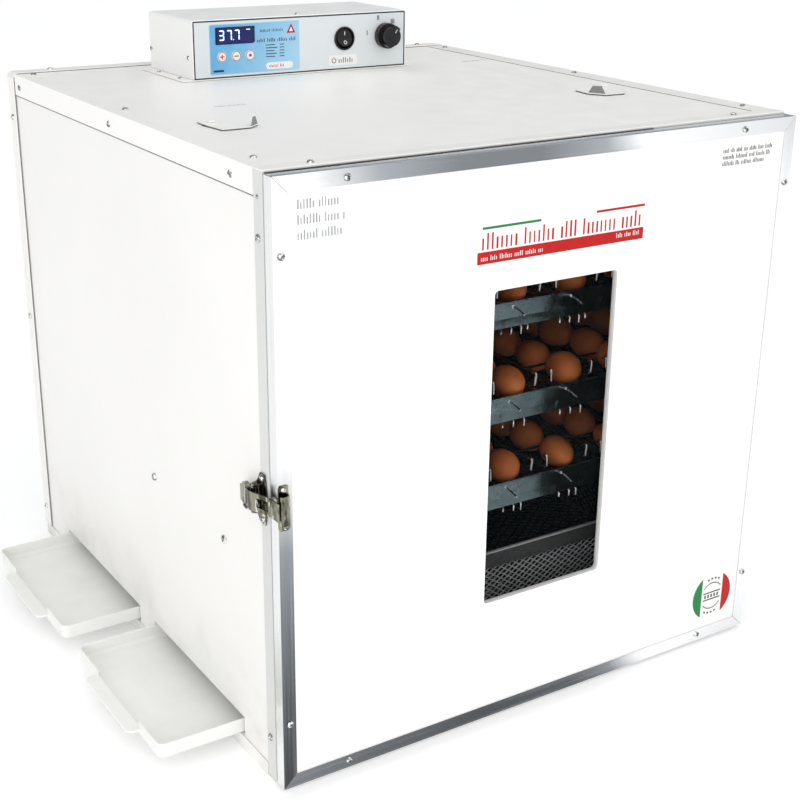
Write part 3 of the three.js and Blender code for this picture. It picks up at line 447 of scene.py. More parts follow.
LOOKS = {
    "paint": ["base_pan", "rear_cover"],
    "trim": ["front_frame"],
    "roof": ["control_base"],
    "cover": ["control_cover"],
    "vent": ["vent_shutter_left", "vent_shutter_right"],
    "side": ["left_panel", "right_panel"],
    "top": ["top_panel"],
    "floor": ["floor_panel"],
    "back": ["back_panel"],
    "door": ["door_panel", "door_liner"],
    "alu_left": ["door_edge_left"],
    "alu_right": ["door_edge_right"],
    "alu_top": ["door_edge_top"],
    "alu_bottom": ["door_edge_bottom"],
    "zinc": ["turn_link"],
    "rail": ["egg_tray_1", "egg_tray_2", "egg_tray_3"],
    "dark": ["rack_left", "rack_right", "turn_motor", "fan_motor", "fan_guard", "heater_element"],
    "nickel": ["latch_lever", "latch_hook", "latch_base", "latch_catch", "temp_probe",
               "hinge_door_lower", "hinge_door_upper", "hinge_cabinet_lower", "hinge_cabinet_upper"],
    "tray": ["water_tray_front", "water_tray_rear"],
    "white": ["turn_pinion", "button_plus", "button_minus", "button_mode"],
    "black": ["fan_blade", "display_module", "power_supply", "power_inlet"],
    "shine": ["switch_bezel", "switch_rocker", "selector_knob"],
    "rubber": ["door_seal"],
    "jamb": ["window_seal"],
    "glass": ["window_glass"],
    "front": ["control_front"],
    "board": ["circuit_board"],
}

# corner rounding of the sheet and moulded parts, in mm
ROUND = {
    "door_panel": 0.25, "door_liner": 0.25, "base_pan": 0.4, "front_frame": 0.5, "left_panel": 0.5,
    "right_panel": 0.4, "top_panel": 0.35, "rear_cover": 0.3, "control_cover": 0.45,
    "control_base": 0.4, "door_edge_left": 0.25, "door_edge_right": 0.25, "door_edge_top": 0.25,
    "door_edge_bottom": 0.25, "water_tray_front": 0.6, "water_tray_rear": 0.6, "latch_lever": 0.15,
    "latch_hook": 0.25, "latch_base": 0.25, "latch_catch": 0.2, "switch_bezel": 0.8, "switch_rocker": 0.6,
    "selector_knob": 0.6, "button_plus": 0.4, "button_minus": 0.4, "button_mode": 0.4,
    "vent_shutter_left": 0.3, "vent_shutter_right": 0.3, "power_inlet": 0.5, "turn_motor": 0.6,
    "fan_motor": 0.6, "fan_blade": 0.4, "hinge_cabinet_lower": 0.25, "hinge_cabinet_upper": 0.25,
    "hinge_door_lower": 0.25, "hinge_door_upper": 0.25, "window_seal": 0.5, "egg_tray_1": 0.15,
    "egg_tray_2": 0.15, "egg_tray_3": 0.15,
}


def soften(obj, width):
    weld = obj.modifiers.new("weld", "WELD")
    weld.merge_threshold = 0.00001
    flat = obj.modifiers.new("planar", "DECIMATE")
    flat.decimate_type = "DISSOLVE"
    flat.angle_limit = math.radians(0.5)
    edge = obj.modifiers.new("edges", "BEVEL")
    edge.width = width * MM
    edge.segments = 2
    edge.limit_method = "ANGLE"
    edge.angle_limit = math.radians(34)
    edge.use_clamp_overlap = True
    edge.harden_normals = False


for look, names in LOOKS.items():
    for name in names:
        obj = nodes[name]
        obj.data.materials.clear()
        obj.data.materials.append(M[look])
        if name in ROUND:
            soften(obj, ROUND[name])

# ---------------------------------------------------------------- mesh helpers, in millimetres


def piece(name, bm, material, body, smooth=40, stands_for=()):
    bmesh.ops.scale(bm, vec=(MM, MM, MM), verts=bm.verts)
    bmesh.ops.recalc_face_normals(bm, faces=bm.faces)
    mesh = bpy.data.meshes.new(name)
    bm.to_mesh(mesh)
    bm.free()
    obj = bpy.data.objects.new(name, mesh)
    scene.collection.objects.link(obj)
    looks = material if isinstance(material, (list, tuple)) else [material]
    for look in looks:
        mesh.materials.append(M[look])
    if smooth:
        for face in mesh.polygons:
            face.use_smooth = True
        mesh.set_sharp_from_angle(angle=math.radians(smooth))
    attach(obj, body)
    if stands_for:
        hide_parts(*stands_for)
    return obj


def box(bm, x0, x1, y0, y1, z0, z1, index=0):
    centre = Vector(((x0 + x1) / 2, (y0 + y1) / 2, (z0 + z1) / 2))
    size = Matrix.Diagonal((x1 - x0, y1 - y0, z1 - z0, 1))
    made = bmesh.ops.create_cube(bm, size=1, matrix=Matrix.Translation(centre) @ size)
    for face in {f for v in made["verts"] for f in v.link_faces}:
        face.material_index = index


AXES = {
    "x": Matrix(((0, 0, 1), (1, 0, 0), (0, 1, 0))),
    "-x": Matrix(((0, 0, -1), (-1, 0, 0), (0, 1, 0))),
    "y": Matrix(((-1, 0, 0), (0, 0, 1), (0, 1, 0))),
    "-y": Matrix(((1, 0, 0), (0, 0, -1), (0, 1, 0))),
    "z": Matrix.Identity(3),
}


def facing(place, way):
    """A frame whose third axis looks along way: the first two lie in the surface."""
    return Matrix.Translation(Vector(place)) @ AXES[way].to_4x4()


def lathe(bm, profile, place, way, steps=24, index=0):
    """profile is a list of (radius, height) from the low end to the top."""
    at = facing(place, way)
    rings = []
    for radius, height in profile:
        if radius < 1e-6:
            rings.append([bm.verts.new(at @ Vector((0, 0, height)))])
            continue
        ring = []
        for i in range(steps):
            angle = 2 * math.pi * i / steps
            spot = Vector((radius * math.cos(angle), radius * math.sin(angle), height))
            ring.append(bm.verts.new(at @ spot))
        rings.append(ring)
    for low, top in zip(rings, rings[1:]):
        for i in range(steps):
            j = (i + 1) % steps
            corners = [low[i % len(low)], low[j % len(low)], top[j % len(top)], top[i % len(top)]]
            unique = []
            for v in corners:
                if v not in unique:
                    unique.append(v)
            bm.faces.new(unique).material_index = index
    for ring in (rings[0], rings[-1]):
        if len(ring) > 1:
            bm.faces.new(ring).material_index = index


def slab(bm, outline, place, way, low, top, index=0):
    """A flat outline, in the surface's own two axes, given thickness along way."""
    at = facing(place, way)
    a = [bm.verts.new(at @ Vector((p, q, low))) for p, q in outline]
    b = [bm.verts.new(at @ Vector((p, q, top))) for p, q in outline]
    count = len(outline)
    faces = [bm.faces.new(a[::-1]), bm.faces.new(b)]
    for i in range(count):
        faces.append(bm.faces.new((a[i], a[(i + 1) % count], b[(i + 1) % count], b[i])))
    for face in faces:
        face.material_index = index


def sheet(bm, outline, holes, place, way, low, top, index=0):
    """A flat outline with holes through it, given thickness along way."""
    at = facing(place, way)
    levels = []
    for height in (low, top):
        loops = [[bm.verts.new(at @ Vector((p, q, height))) for p, q in line] for line in (outline, *holes)]
        edges = [bm.edges.new((loop[i - 1], loop[i])) for loop in loops for i in range(len(loop))]
        filled = bmesh.ops.triangle_fill(bm, edges=edges, use_beauty=True)
        for part in filled["geom"]:
            if isinstance(part, bmesh.types.BMFace):
                part.material_index = index
        levels.append(loops)
    for a, b in zip(*levels):
        for i in range(len(a)):
            bm.faces.new((a[i - 1], a[i], b[i], b[i - 1])).material_index = index


def ring_slab(bm, r0, r1, place, way, low, top, steps=40, index=0, start=0.0, sweep=360.0):
    at = facing(place, way)
    whole = sweep >= 359.9
    loops = []
    for i in range(steps if whole else steps + 1):
        angle = math.radians(start + sweep * i / steps)
        c, s = math.cos(angle), math.sin(angle)
        corners = ((r0, low), (r1, low), (r1, top), (r0, top))
        loops.append([bm.verts.new(at @ Vector((r * c, r * s, h))) for r, h in corners])
    pairs = list(zip(loops, loops[1:]))
    if whole:
        pairs.append((loops[-1], loops[0]))
    for a, b in pairs:
        for k in range(4):
            bm.faces.new((a[k], a[(k + 1) % 4], b[(k + 1) % 4], b[k])).material_index = index
    if not whole:
        bm.faces.new(loops[0]).material_index = index
        bm.faces.new(loops[-1][::-1]).material_index = index


def tube(bm, points, radius, steps=8, index=0):
    """A round wire along a bent line, closed at both ends."""
    points = [Vector(p) for p in points]
    rings = []
    side = None
    for i, p in enumerate(points):
        before = points[max(i - 1, 0)]
        after = points[min(i + 1, len(points) - 1)]
        along = (after - before).normalized()
        if side is None:
            side = along.orthogonal().normalized()
        side = (side - along * side.dot(along)).normalized()
        other = along.cross(side)
        reach = 1.0
        if 0 < i < len(points) - 1:
            bend = (p - before).normalized().dot(along)
            reach = 1.0 / max(bend, 0.5)
        ring = []
        for k in range(steps):
            angle = 2 * math.pi * k / steps
            out = side * math.cos(angle) + other * math.sin(angle)
            ring.append(bm.verts.new(p + out * radius * min(reach, 1.2)))
        rings.append(ring)
    for a, b in zip(rings, rings[1:]):
        for k in range(steps):
            bm.faces.new((a[k], a[(k + 1) % steps], b[(k + 1) % steps], b[k])).material_index = index
    bm.faces.new(rings[0][::-1]).material_index = index
    bm.faces.new(rings[-1]).material_index = index


def rounded(a0, a1, b0, b1, r, steps=4):
    line = []
    corners = ((a1 - r, b0 + r, -90), (a1 - r, b1 - r, 0), (a0 + r, b1 - r, 90), (a0 + r, b0 + r, 180))
    for a, b, start in corners:
        for i in range(steps + 1):
            angle = math.radians(start + 90 * i / steps)
            line.append((a + r * math.cos(angle), b + r * math.sin(angle)))
    return line


def screw(bm, place, way, r=3.6, h=2.2, spin=0.0):
    """A pan head with a cross recess, seated on the surface at place and standing along way."""
    at = facing(place, way) @ Matrix.Rotation(spin, 4, "Z")
    steps = 20
    rings = []
    for radius, height in ((r, 0.0), (r, 0.3 * h), (0.88 * r, 0.72 * h), (0.66 * r, h)):
        ring = []
        for i in range(steps):
            angle = 2 * math.pi * i / steps
            spot = Vector((radius * math.cos(angle), radius * math.sin(angle), height))
            ring.append(bm.verts.new(at @ spot))
        rings.append(ring)
    for a, b in zip(rings, rings[1:]):
        for i in range(steps):
            bm.faces.new((a[i], a[(i + 1) % steps], b[(i + 1) % steps], b[i]))
    bm.faces.new(rings[0][::-1])
    w, n = 0.12 * r, 0.5 * r
    cross = [(w, w), (w, n), (-w, n), (-w, w), (-n, w), (-n, -w),
             (-w, -w), (-w, -n), (w, -n), (w, -w), (n, -w), (n, w)]
    top = [bm.verts.new(at @ Vector((a, b, h))) for a, b in cross]
    low = [bm.verts.new(at @ Vector((a * 0.8, b * 0.8, 0.45 * h))) for a, b in cross]
    for i in range(12):
        j = (i + 1) % 12
        bm.faces.new((top[i], top[j], low[j], low[i]))
    bm.faces.new(low)
    edges = [bm.edges.get((top[i], top[(i + 1) % 12])) for i in range(12)]
    edges += [bm.edges.get((rings[-1][i], rings[-1][(i + 1) % steps])) for i in range(steps)]
    bmesh.ops.triangle_fill(bm, edges=edges, use_beauty=True)


random.seed(7)

# ---------------------------------------------------------------- screws

SIDE_X = -299.1
FLANGE_X = -301.6
ROOF_Z = 594.0


def screws(name, body, places):
    bm = bmesh.new()
    for place, way, r in places:
        screw(bm, place, way, r, 0.6 * r, random.uniform(0, 1.5))
    return piece(name, bm, "screw", body, smooth=50)


DOOR_FACE = -337.5
DOOR_SCREW, SHELL_SCREW, SIDE_SCREW = 3.5, 3.2, 4.2  # head radii
door_screws = [((x, DOOR_FACE, z), "-y", DOOR_SCREW) for x in (-229, 229) for z in (584.5, 12)]
door_screws += [((x, DOOR_FACE, z), "-y", DOOR_SCREW) for x in (-292.5, 292.5) for z in (525, 75)]
screws("screws_door", "door", door_screws)

cabinet_screws = [((-300, -312, z), "-x", 3.6) for z in (536, 49)]
cabinet_screws.append(((-300, -312, 571), "-x", 1.8))
cabinet_screws += [((SIDE_X, y, 581), "-x", 3.7) for y in (284, 11, -262)]
cabinet_screws += [((SIDE_X, -56, 222), "-x", SIDE_SCREW), ((SIDE_X, -223, 220.5), "-x", SIDE_SCREW)]
cabinet_screws += [((FLANGE_X, 311, z), "-x", SHELL_SCREW) for z in (544, 300, 42)]
cabinet_screws += [((-FLANGE_X, 311, z), "x", SHELL_SCREW) for z in (544, 300, 42)]
cabinet_screws += [((x, 311, ROOF_Z + 1.6), "z", SHELL_SCREW) for x in (-253, 263)]
cabinet_screws += [((-281, y, ROOF_Z), "z", SHELL_SCREW) for y in (288, 12, -269)]
cabinet_screws += [((286, y, ROOF_Z + 0.3), "z", SHELL_SCREW) for y in (277, 2, -276)]
cabinet_screws += [((x, -312.5, ROOF_Z + 0.6), "z", SHELL_SCREW) for x in (-250, 236)]
cabinet_screws += [((299.1, y, 560), "x", SHELL_SCREW) for y in (277, 2, -276)]
cabinet_screws += [((299.1, y, 40), "x", SHELL_SCREW) for y in (277, 2, -276)]
cabinet_screws += [((x, 321, z), "y", SHELL_SCREW) for x in (-286, 0, 286) for z in (575, 300, 34)]
cabinet_screws += [((-142.9, 265, 619), "-x", 2.6), ((-142.9, 161.5, 619), "-x", 2.6)]
cabinet_screws += [((140, 265, 619), "x", 2.6), ((140, 161.5, 619), "x", 2.6)]
cabinet_screws += [((-149.8, y, ROOF_Z + 1.6), "z", 2.4) for y in (231, 172)]
cabinet_screws += [((-302, -310.8, z), "-x", 3.0) for z in (318.2, 277.8)]
cabinet_screws.append(((-4, 160, 661), "z", 2.6))
screws("screws_cabinet", "cabinet", cabinet_screws)
screws("screws_catch", "door", [((-295.5, -339, 316.4), "-y", 2.7), ((-294.2, -339, 280.2), "-y", 2.7)])

# ---------------------------------------------------------------- seams of the outer sheets


def seam_lines():
    """Thin strips along the joints of the front frame and the roof, which stand for their gaps. The dark and
    grey strips in the gap round the door are painted shade; the pale strip on the roof fold is painted light
    over its shadow.
    """
    bm = bmesh.new()
    box(bm, -299.6, -299.0, -304.5, -304.2, 16, 570, 1)
    # painted light: a pale strip over the shadow of the roof fold
    box(bm, -299.7, -299.0, -304, 300, 569.2, 570.05, 2)
    box(bm, 270.6, 272.7, -304, 296, 593.7, 594.12, 0)
    # painted shade: dark and grey strips in the gap round the door
    box(bm, -298, 120, -323.3, -321.2, 589.6, 592.6, 0)
    box(bm, 120.2, 298, -323.3, -321.2, 589.6, 592.2, 1)
    box(bm, -299.3, -297.5, -323.3, -321.2, 6, 592, 1)
    box(bm, 297, 299.5, -323.3, -321.2, 6, 592, 0)
    return piece("seam_lines", bm, ["ink", "grey", "seam_light"], "cabinet", smooth=0)


seam_lines()


def vent_shadow_and_pivots():
    """A painted shadow: a dark sliver on the roof beside the left shutter, where its plate lifts; and a grey
    ring round each shutter's pivot.
    """
    bm = bmesh.new()
    # painted shadow under the left shutter's lifted edge
    line = [(-254.5, -110), (-252.9, -121.5), (-247.0, -137.2),
            (-244.9, -134), (-244.6, -122), (-245.6, -111)]
    slab(bm, line, (0, 0, 0), "z", 594.02, 594.5)
    for x in (-242, 242):
        ring_slab(bm, 2.3, 3.4, (x, -105, 595.85), "z", 0, 0.35, 28, 1)
    return piece("vent_shadow_and_pivots", bm, ["ink", "grey"], "cabinet", smooth=0)


vent_shadow_and_pivots()

# ---------------------------------------------------------------- eggs, dividers and trays

TRAYS = {1: 428.0, 2: 328.5, 3: 234.0}  # height of each front rail's upper edge
PITCH = 73.0
EGG_ROWS, EGG_ROW_PITCH, EGG_FIRST_Y = 9, 49.5, -254
EGG_BED = 10  # the eggs lie this far below the rail's edge
RAIL_HALF = 268  # no wire end beyond this


def egg(bm, place, length, radius, yaw, tip, ends=1):
    steps, rings = 20, 14
    at = Matrix.Translation(Vector(place)) @ Matrix.Rotation(yaw, 4, "Z") @ Matrix.Rotation(tip, 4, "X")
    loops = []
    for i in range(rings + 1):
        t = math.pi * i / rings
        y = -math.cos(t) * length / 2
        swell = 1.0 - 0.13 * (y * ends / (length / 2))
        r = radius * math.sin(t) * swell
        if i in (0, rings):
            loops.append([bm.verts.new(at @ Vector((0, y, 0)))])
        else:
            turns = [2 * math.pi * k / steps for k in range(steps)]
            loops.append([bm.verts.new(at @ Vector((r * math.cos(a), y, r * math.sin(a)))) for a in turns])
    for a, b in zip(loops, loops[1:]):
        for k in range(steps):
            j = (k + 1) % steps
            face = []
            for v in (a[k % len(a)], a[j % len(a)], b[j % len(b)], b[k % len(b)]):
                if v not in face:
                    face.append(v)
            bm.faces.new(face)


def lay_eggs(tray):
    top = TRAYS[tray]
    bm = bmesh.new()
    for cell in range(-3, 4):
        for row in range(EGG_ROWS):
            r = random.uniform(16.0, 17.4)
            length = random.uniform(43, 47.5)
            x = cell * PITCH + 25.0 - r + random.uniform(-3.5, 0)
            y = EGG_FIRST_Y + row * EGG_ROW_PITCH + random.uniform(-1, 1)
            spot = (x, y, top - EGG_BED + r)
            yaw, tip = random.uniform(-0.12, 0.12), random.uniform(-0.04, 0.04)
            egg(bm, spot, length, r, yaw, tip, random.choice((-1, 1)))
    return piece("eggs_tray_%d" % tray, bm, "egg", "egg_carriage", smooth=180)


HANGERS = {1: (-25, -12.5, -0.5, 7.5), 2: (-18.5, -5, 8.5), 3: (-13.7, -0.3, 9)}


def divider_wires(tray):
    """Round wires of the sliding divider grid, with the cross-bars that carry them. The long wires,
    cross-bars and back bracket are near black as painted shade.
    """
    top = TRAYS[tray]
    bm = bmesh.new()
    z = top + 2.6
    for cell in range(-3, 4):
        for side in (-1, 1):
            x = cell * PITCH + side * 26
            lean = side * 0.8
            # painted shade: the long wire back into the chamber is near black
            tube(bm, [(x, 171.5, z), (x, -268, z), (x, -275.5, z + 0.6)], 1.2, 8, 1)
            tube(bm, [(x, -275.5, z + 0.6), (x, -278.0, z + 3.6), (x + lean, -278.6, top + 16)], 1.35)
            bend = ((-278.6, 16), (-277.8, 17.6), (-275.6, 18), (-272.6, 16.2))
            hook = [(x + lean, y, top + rise) for y, rise in bend]
            tube(bm, hook, 1.35)
    # painted shade: the cross-bars are near black
    for y in (-229.8, 170.2):
        tube(bm, [(-246, y, top + 4.3), (246, y, top + 4.3)], 1.3, 8, 1)
    box(bm, 195, 205, 169.5, 184, top + 3, top + 5.4, 1)
    box(bm, 195, 205, 182.5, 184, top + 3, top + 19.4, 1)
    return piece("divider_wires_%d" % tray, bm, ["wire", "wire_shade"], "egg_carriage",
                 smooth=45, stands_for=["divider_grid_%d" % tray])


def tray_wires(tray):
    """Wires fixed under each tray: their ends hang below the lip, and one per cell comes out forward."""
    top = TRAYS[tray]
    bm = bmesh.new()
    for cell in range(-3, 4):
        base = cell * PITCH
        for n, dx in enumerate(HANGERS[tray]):
            drop = 5.5 + (n % 3) * 1.6
            x = base + dx
            if abs(x) > RAIL_HALF:
                continue
            hanger = [(x, -277, top - 22.5), (x, -283, top - 23.6), (x, -285.8, top - 26)]
            tube(bm, hanger + [(x - 0.6, -286.2, top - 24 - drop)], 0.9, 6)
        x = base - 8
        forward = [(x, -281.2, top - 5.0), (x, -286, top - 5.6), (x, -292, top - 6.6)]
        tube(bm, forward + [(x - 0.4, -300, top - 8.6)], 1.1, 8)
        lathe(bm, [(2.2, 0), (2.2, 0.8), (1.1, 1.5)], (x, -281.0, top - 4.9), "-y", 10)
    return piece("tray_wires_%d" % tray, bm, "wire", "cabinet", smooth=45)


def rail_fold(tray):
    """Rolled upper edge of the front rail."""
    top = TRAYS[tray]
    bm = bmesh.new()
    tube(bm, [(-271.5, -280.6, top - 0.2), (271.5, -280.6, top - 0.2)], 1.0, 8)
    return piece("rail_fold_%d" % tray, bm, "zinc", "cabinet", smooth=60)


for tray_number in TRAYS:
    lay_eggs(tray_number)
    divider_wires(tray_number)
    tray_wires(tray_number)
    rail_fold(tray_number)

# ---------------------------------------------------------------- hatching basket


def lattice(bm, place, way, a0, a1, b0, b1, wide, tall, strand, thick, index=0):
    """Expanded sheet metal: diamonds cut out of a sheet, with slightly raised strands."""
    at = facing(place, way)
    across = max(int(round((a1 - a0) / wide)), 1)
    up = max(int(round((b1 - b0) / tall)), 1)
    wide, tall = (a1 - a0) / across, (b1 - b0) / up
    inset_a = 1 - strand / wide * 1.25
    inset_b = 1 - strand / tall * 1.25
    cache = {}

    def vert(p, q, h):
        key = (round(p, 3), round(q, 3), h)
        if key not in cache:
            cache[key] = bm.verts.new(at @ Vector((p, q, h)))
        return cache[key]

    def diamond(ca, cb):
        outer = [(ca + wide / 2, cb), (ca, cb + tall / 2), (ca - wide / 2, cb), (ca, cb - tall / 2)]
        if any(p < a0 - 0.01 or p > a1 + 0.01 or q < b0 - 0.01 or q > b1 + 0.01 for p, q in outer):
            return
        inner = [(ca + (p - ca) * inset_a, cb + (q - cb) * inset_b) for p, q in outer]
        for i in range(4):
            j = (i + 1) % 4
            o0, o1, i0, i1 = outer[i], outer[j], inner[i], inner[j]
            corners = (
                (vert(*o0, thick), vert(*o1, thick), vert(*i1, thick), vert(*i0, thick)),
                (vert(*o0, 0), vert(*i0, 0), vert(*i1, 0), vert(*o1, 0)),
                (vert(*i0, thick), vert(*i1, thick), vert(*i1, 0), vert(*i0, 0)),
            )
            for four in corners:
                bm.faces.new(four).material_index = index

    for i in range(across):
        for j in range(up):
            diamond(a0 + (i + 0.5) * wide, b0 + (j + 0.5) * tall)
    for i in range(1, across):
        for j in range(1, up):
            diamond(a0 + i * wide, b0 + j * tall)


def hatching_basket():
    bm = bmesh.new()
    w, f, b = 262.0, -281.0, 176.0
    low, band, top = 58.0, 140.0, 160.0
    walls = ((-w, w, f, f + 1.2), (-w, w, b - 1.2, b), (-w, -w + 1.2, f, b), (w - 1.2, w, f, b))
    for x0, x1, y0, y1 in walls:
        box(bm, x0, x1, y0, y1, band, top)
        box(bm, x0, x1, y0, y1, low, low + 4)
    for x0, x1, y0, y1 in ((-w - 4, w + 4, f - 3, f + 1.2), (-w - 4, w + 4, b - 1.2, b + 4),
                           (-w - 4, -w + 1.2, f, b), (w - 1.2, w + 4, f, b)):
        box(bm, x0, x1, y0, y1, top - 1.2, top, 1)
    for x, y in ((-w + 1, f + 1), (w - 1, f + 1), (-w + 1, b - 1), (w - 1, b - 1)):
        tube(bm, [(x, y, low + 1), (x, y, band + 1)], 1.6, 8)
    # painted highlight: the front lattice's strands are near white
    lattice(bm, (0, f + 0.9, 0), "-y", -w + 1, w - 1, low + 3, band + 1, 9.6, 6.8, 1.15, 0.9, 1)
    # painted shade: the back, side and floor lattices are near black
    lattice(bm, (0, b - 0.9, 0), "y", -w + 1, w - 1, low + 3, band + 1, 12, 8.5, 1.5, 0.9, 2)
    lattice(bm, (-w + 0.9, 0, 0), "-x", -b + 1, -f - 1, low + 3, band + 1, 12, 8.5, 1.5, 0.9, 2)
    lattice(bm, (w - 0.9, 0, 0), "x", f + 1, b - 1, low + 3, band + 1, 12, 8.5, 1.5, 0.9, 2)
    lattice(bm, (0, 0, low), "z", -w + 1, w - 1, f + 1, b - 1, 16, 12, 1.8, 0.9, 2)
    return piece("basket_sheet", bm, ["mesh", "lattice", "lattice_shade"], "cabinet",
                 smooth=0, stands_for=["hatching_basket"])


hatching_basket()

# ---------------------------------------------------------------- marks on the door

DOOR_Y = -336.1


def strokes(bm, x0, x1, z, height, pitch, index, at, heavy=0.4, lift=0.2):
    """A row of plain upright bars in groups, standing in for a line of print."""
    x, left = x0, random.randint(4, 8)
    while x < x1 - 0.4 * pitch:
        if left:
            t = pitch * heavy * random.uniform(0.75, 1.15)
            top = z + height * (0.5 if random.random() < 0.35 else 0.2)
            slab(bm, [(x, z - 0.5 * height), (x + t, z - 0.5 * height), (x + t, top), (x, top)],
                 at, "-y", -0.05, lift, index)
            left -= 1
        else:
            left = random.randint(3, 8)
        x += pitch


def roof_marks():
    """Two faint rows of small bars printed on the roof."""
    bm = bmesh.new()
    for x0, x1, y in ((-196, -162, -17), (226, 262, 150)):
        x = x0
        while x < x1:
            wide = random.uniform(1.2, 2.4)
            mark = [(x, y - 3), (x + wide, y - 3), (x + wide, y + 3), (x, y + 3)]
            slab(bm, mark, (0, 0, ROOF_Z), "z", -0.05, 0.15)
            x += wide + random.uniform(0.8, 2.0)
    return piece("roof_marks", bm, "faint", "cabinet", smooth=0)


def door_marks():
    """Plain stripes and rows of small bars: no lettering."""
    bm = bmesh.new()
    at = (0, DOOR_Y, 0)
    slab(bm, rounded(-93, 104, 489.5, 500.8, 0.6), at, "-y", -0.05, 0.25, 0)
    strokes(bm, -88, 104, 510.5, 15.5, 5.3, 0, at, 0.36)
    slab(bm, rounded(-88, -22, 521.6, 523.8, 0.4), at, "-y", -0.05, 0.22, 1)
    slab(bm, rounded(44, 104, 521.6, 523.8, 0.4), at, "-y", -0.05, 0.22, 0)
    strokes(bm, -89, -18, 494.8, 4.6, 2.1, 4, at, 0.42, 0.34)
    strokes(bm, 70, 100, 496.4, 4.6, 2.1, 4, at, 0.42, 0.34)
    for x1, z in ((-232, 566.5), (-229, 553.5), (-234, 540.5)):
        strokes(bm, -276, x1, z, 8.0, 2.9, 2, at, 0.4)
    for x1, z in ((271, 565), (268, 558.5), (262, 552)):
        strokes(bm, 203, x1, z, 4.6, 2.0, 3, at, 0.42)
    return piece("door_stripes", bm, ["red", "green", "grey", "ink", "paper"], "door", smooth=0)


def crescent(bm, place, r, cut_at, side, index):
    """The part of a round sticker beyond a straight cut."""
    half = math.acos(cut_at / r)
    line = [(side * r * math.cos(a), r * math.sin(a)) for a in (half * (i / 12 - 1) for i in range(25))]
    slab(bm, line if side > 0 else line[::-1], place, "-y", 0.15, 0.3, index)


def door_sticker():
    bm = bmesh.new()
    place = (248.5, DOOR_Y, 56)
    lathe(bm, [(29.5, -0.05), (29.5, 0.16), (29.2, 0.2)], place, "-y", 64, 2)
    crescent(bm, place, 28.6, 15.5, -1, 1)
    crescent(bm, place, 28.6, 15.5, 1, 0)
    for start in (40, 220):
        ring_slab(bm, 15.6, 16.6, place, "-y", 0.15, 0.34, 24, 3, start, 100)
    for start in (62, 76, 90, 104, 242, 256, 270, 284):
        ring_slab(bm, 20.6, 22.6, place, "-y", 0.15, 0.33, 4, 3, start, 7)
    slab(bm, rounded(-13, 13, 3.6, 5.0, 0.5), place, "-y", 0.15, 0.33, 3)
    slab(bm, rounded(-13, 13, -5.0, -3.6, 0.5), place, "-y", 0.15, 0.33, 3)
    for x in (-11, -6.3, -1.6, 3.1, 7.8):
        slab(bm, [(x, -2), (x + 2.2, -2), (x + 2.2, 2), (x, 2)], place, "-y", 0.15, 0.33, 3)
    return piece("door_sticker", bm, ["red", "green", "paper", "ink"], "door", smooth=30)


door_marks()
door_sticker()
roof_marks()

# ---------------------------------------------------------------- control box

FRONT_FACE = 149.8
KEYS = {"plus": -107, "minus": -89, "mode": -71.5}
KEY_Z, KEY_HOLE = 619.5, 6.4


def control_label():
    bm = bmesh.new()
    at = (0, FRONT_FACE, 0)
    holes = []
    for x in KEYS.values():
        turns = [2 * math.pi * i / 32 for i in range(32)]
        holes.append([(x + KEY_HOLE * math.cos(a), KEY_Z + KEY_HOLE * math.sin(a)) for a in turns])
    sheet(bm, rounded(-122, -7, 599.5, 655.5, 2), holes, at, "-y", 0.0, 0.12, 1)
    sheet(bm, rounded(-121.2, -7.8, 600.3, 654.7, 1.6), holes, at, "-y", 0.05, 0.2, 0)
    slab(bm, rounded(-114.6, -66.4, 632.8, 652, 1.0), at, "-y", 0.1, 0.3, 2)
    # rows of small bars beside the display
    strokes(bm, -58, -28, 646.0, 3.0, 1.9, 3, at, 0.4, 0.34)
    strokes(bm, -62, -11, 635.2, 4.2, 2.2, 3, at, 0.42, 0.34)
    for row, reach in enumerate((12, 15, 11, 14, 12)):
        z = 629.6 - row * 3.3
        slab(bm, rounded(-51, -51 + reach, z - 0.45, z + 0.45, 0.3, 2), at, "-y", 0.2, 0.32, 3)
        slab(bm, rounded(-33, -27, z - 0.45, z + 0.45, 0.3, 2), at, "-y", 0.2, 0.32, 3)
    slab(bm, rounded(-118, -105, 602.6, 605.0, 0.5, 2), at, "-y", 0.1, 0.3, 3)
    slab(bm, [(-23.6, 641.8), (-12.2, 641.8), (-17.8, 652.4)], at, "-y", 0.2, 0.34, 4)
    slab(bm, [(-20.4, 643.6), (-15.4, 643.6), (-17.85, 648.8)], at, "-y", 0.3, 0.44, 5)
    slab(bm, rounded(-51, -16, 602, 609.7, 3.4), at, "-y", 0.1, 0.3, 5)
    strokes(bm, -47, -27, 605.8, 3.4, 1.8, 4, at, 0.42, 0.42)
    looks = ["film", "pale", "navy", "ink", "red", "paper"]
    return piece("control_label", bm, looks, "cabinet", smooth=0)


def front_shadow():
    """Thin dark strips where the front plate meets the folded edges of the cover."""
    bm = bmesh.new()
    for x0, x1, z0, z1 in ((-141.8, 138.8, 658.3, 659.7), (-141.9, -140.3, 596.6, 659.7),
                           (137.3, 138.8, 596.6, 659.7), (-141.8, 138.8, 595.9, 597.2)):
        box(bm, x0, x1, 149.66, 149.95, z0, z1)
    return piece("front_shadow", bm, "ink", "cabinet", smooth=0)


# lit bars of each figure shown
SEGMENTS = {"3": "abgcd", "7": "abc"}


